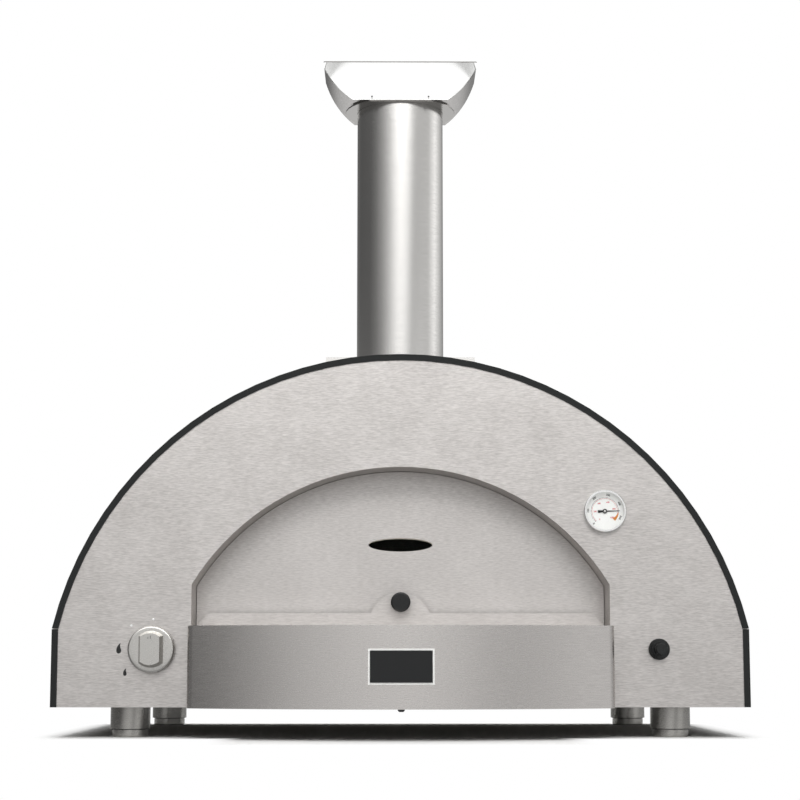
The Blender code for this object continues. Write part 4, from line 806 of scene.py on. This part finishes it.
world = bpy.data.worlds.new("studio")
bpy.context.scene.world = world
world.use_nodes = True
tree = world.node_tree
tree.nodes.clear()
way = addNode(tree, "ShaderNodeSeparateXYZ", {
    "Vector": addNode(tree, "ShaderNodeTexCoord").outputs["Generated"]})
# bearing of the studio wall, 0 to 1 round the oven: 0.5 is in front of it, 0.75 is to its right
forward = addNode(tree, "ShaderNodeMath", {0: way.outputs["Y"], 1: -1.0}, operation="MULTIPLY")
bearing = addNode(tree, "ShaderNodeMath", {0: way.outputs["X"], 1: forward.outputs[0]}, operation="ARCTAN2")
bearing = addNode(tree, "ShaderNodeMath", {0: bearing.outputs[0], 1: 1 / math.tau, 2: 0.5},
                  operation="MULTIPLY_ADD")
# wall tones by bearing: level with the oven, above it, the high front panel, and the ground
wallTones = {
    "low": [(0.0, 0.90), (0.05, 0.65), (0.09, 0.30), (0.20, 0.20), (0.34, 0.14), (0.37, 0.20),
            (0.40, 0.38), (0.43, 0.58), (0.46, 0.66), (0.50, 0.76), (0.53, 0.68), (0.56, 0.50),
            (0.58, 0.48), (0.60, 0.62), (0.63, 0.80), (0.67, 0.75), (0.72, 0.50), (0.85, 0.40),
            (0.91, 0.35), (0.95, 0.65), (1.0, 0.90)],
    "high": [(0.0, 0.20), (0.04, 0.14), (0.07, 0.12), (0.13, 0.08), (0.26, 0.08), (0.31, 0.14),
             (0.363, 0.26), (0.412, 0.40), (0.435, 0.52), (0.458, 0.70), (0.481, 0.87), (0.504, 0.96),
             (0.527, 0.92), (0.549, 0.82), (0.573, 0.60), (0.596, 0.42), (0.62, 0.40), (0.671, 0.47),
             (0.727, 0.53), (0.759, 0.78), (0.794, 1.02), (0.835, 0.70), (0.889, 0.42), (0.95, 0.24),
             (1.0, 0.20)],
    "upper": [(0.0, 0.06), (0.10, 0.15), (0.30, 0.40), (0.38, 1.20), (0.44, 3.90), (0.50, 4.90),
              (0.56, 3.90), (0.62, 1.20), (0.70, 0.40), (0.90, 0.15), (1.0, 0.06)],
    "ground": [(0.0, 1.08), (0.05, 1.00), (0.10, 0.18), (0.28, 0.16), (0.38, 0.28), (0.42, 0.36),
               (0.58, 0.36), (0.62, 0.36), (0.72, 0.30), (0.90, 0.30), (0.95, 1.00), (1.0, 1.08)],
}
ceilingTone = 0.85
# where each level takes over from the one below it, as the height of the ray's direction
heights = {"high": (0.02, 0.20), "upper": (0.31, 0.44), "ceiling": (0.60, 0.85), "ground": (-0.10, -0.22)}
peak = 5.0  # the brightest tone, and the strength of the world
# the soft light that the matt faces take: its heights, and its tones below and above them
softLight = {"from": 0.45, "to": 0.85, "below": 0.04, "above": 1.1}


def blendAt(level, below, above):
    # the studio's light below a level, and above it, with a soft change between them
    start, end = heights[level]
    share = addNode(tree, "ShaderNodeMapRange", {
        "Value": way.outputs["Z"], "From Min": start, "From Max": end}, interpolation_type="SMOOTHSTEP")
    return addNode(tree, "ShaderNodeMix", {
        "Factor": share.outputs[0], "A": below, "B": above}, data_type="RGBA").outputs["Result"]


def grey(tone):
    # a tone as a colour, stored as a share of the peak
    return (tone / peak, tone / peak, tone / peak, 1)


walls = {}
for level, tones in wallTones.items():
    wall = addNode(tree, "ShaderNodeValToRGB", {"Fac": bearing.outputs[0]})
    setRamp(wall.color_ramp, [(position, grey(tone)) for position, tone in tones])
    walls[level] = wall.outputs[0]
room = blendAt("high", walls["low"], walls["high"])
room = blendAt("upper", room, walls["upper"])
room = blendAt("ceiling", room, grey(ceilingTone))
room = blendAt("ground", room, walls["ground"])
rays = addNode(tree, "ShaderNodeLightPath")
seen = addNode(tree, "ShaderNodeMath", {
    0: rays.outputs["Is Camera Ray"], 1: rays.outputs["Is Transmission Ray"]}, operation="MAXIMUM")
# matt faces take a plain soft light from the ceiling, and the metal mirrors the walls
overhead = addNode(tree, "ShaderNodeMapRange", {
    "Value": way.outputs["Z"], "From Min": softLight["from"], "From Max": softLight["to"],
    "To Min": softLight["below"] / peak, "To Max": softLight["above"] / peak},
    interpolation_type="SMOOTHSTEP")
room = addNode(tree, "ShaderNodeMix", {
    "Factor": rays.outputs["Is Diffuse Ray"], "A": room, "B": overhead.outputs[0]},
    data_type="RGBA").outputs["Result"]
shade = addNode(tree, "ShaderNodeBackground", {"Color": room, "Strength": peak})
white = addNode(tree, "ShaderNodeBackground", {"Color": (1, 1, 1, 1), "Strength": 1.0})
sky = addNode(tree, "ShaderNodeMixShader", {0: seen.outputs[0], 1: shade.outputs[0], 2: white.outputs[0]})
addNode(tree, "ShaderNodeOutputWorld", {"Surface": sky.outputs[0]})

floor = bpy.data.objects.new("floor", bpy.data.meshes.new("floor"))
bpy.context.scene.collection.objects.link(floor)
sheet = bmesh.new()
bmesh.ops.create_grid(sheet, x_segments=1, y_segments=1, size=studio["floorReach"])
sheet.to_mesh(floor.data)
sheet.free()
floorMaterial, tree = newMaterial("pale studio floor")
place = addNode(tree, "ShaderNodeTexCoord").outputs["Object"]
matt = addNode(tree, "ShaderNodeBsdfDiffuse", {"Color": hexToLinear(studio["floor"])})
glow = addNode(tree, "ShaderNodeEmission", {"Color": (1, 1, 1, 1), "Strength": 1.0})
# the floor is matt, and holds the shadow, under the oven; past that it is as white as the backdrop
reaches = []
for name, *margins in studio["shadow"]:
    low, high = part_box(name)
    middle = [(low[axis] + high[axis]) / 2 for axis in (0, 1)] + [0]
    half = [(high[axis] - low[axis]) / 2 + margins[axis] for axis in (0, 1)] + [0]
    away = addNode(tree, "ShaderNodeVectorMath", {0: place, 1: middle}, operation="SUBTRACT")
    away = addNode(tree, "ShaderNodeVectorMath", {0: away.outputs[0]}, operation="ABSOLUTE")
    away = addNode(tree, "ShaderNodeVectorMath", {0: away.outputs[0], 1: half}, operation="SUBTRACT")
    away = addNode(tree, "ShaderNodeVectorMath", {0: away.outputs[0], 1: (0, 0, 0)}, operation="MAXIMUM")
    reaches.append(addNode(tree, "ShaderNodeVectorMath", {0: away.outputs[0]}, operation="LENGTH"))
reach = addNode(tree, "ShaderNodeMath", {
    0: reaches[0].outputs["Value"], 1: reaches[1].outputs["Value"]}, operation="MINIMUM")
far = addNode(tree, "ShaderNodeMapRange", {
    "Value": reach.outputs[0], "From Min": 0.0, "From Max": studio["fade"]}, interpolation_type="SMOOTHSTEP")
rays = addNode(tree, "ShaderNodeLightPath")
seen = addNode(tree, "ShaderNodeMath", {
    0: rays.outputs["Is Camera Ray"], 1: rays.outputs["Is Transmission Ray"]}, operation="MAXIMUM")
lit = addNode(tree, "ShaderNodeMath", {0: far.outputs[0], 1: seen.outputs[0]}, operation="MULTIPLY")
near = addNode(tree, "ShaderNodeMixShader", {0: lit.outputs[0], 1: matt.outputs[0], 2: glow.outputs[0]})
# the steel sees the studio's own ground there in place of the floor
steel = addNode(tree, "ShaderNodeMath", {0: far.outputs[0], 1: rays.outputs["Is Glossy Ray"]},
                operation="MULTIPLY")
clear = addNode(tree, "ShaderNodeBsdfTransparent")
close(tree, addNode(tree, "ShaderNodeMixShader", {
    0: steel.outputs[0], 1: near.outputs[0], 2: clear.outputs[0]}))
floor.data.materials.append(floorMaterial)
bpy.context.scene.view_settings.view_transform = "Standard"
print("studio made")
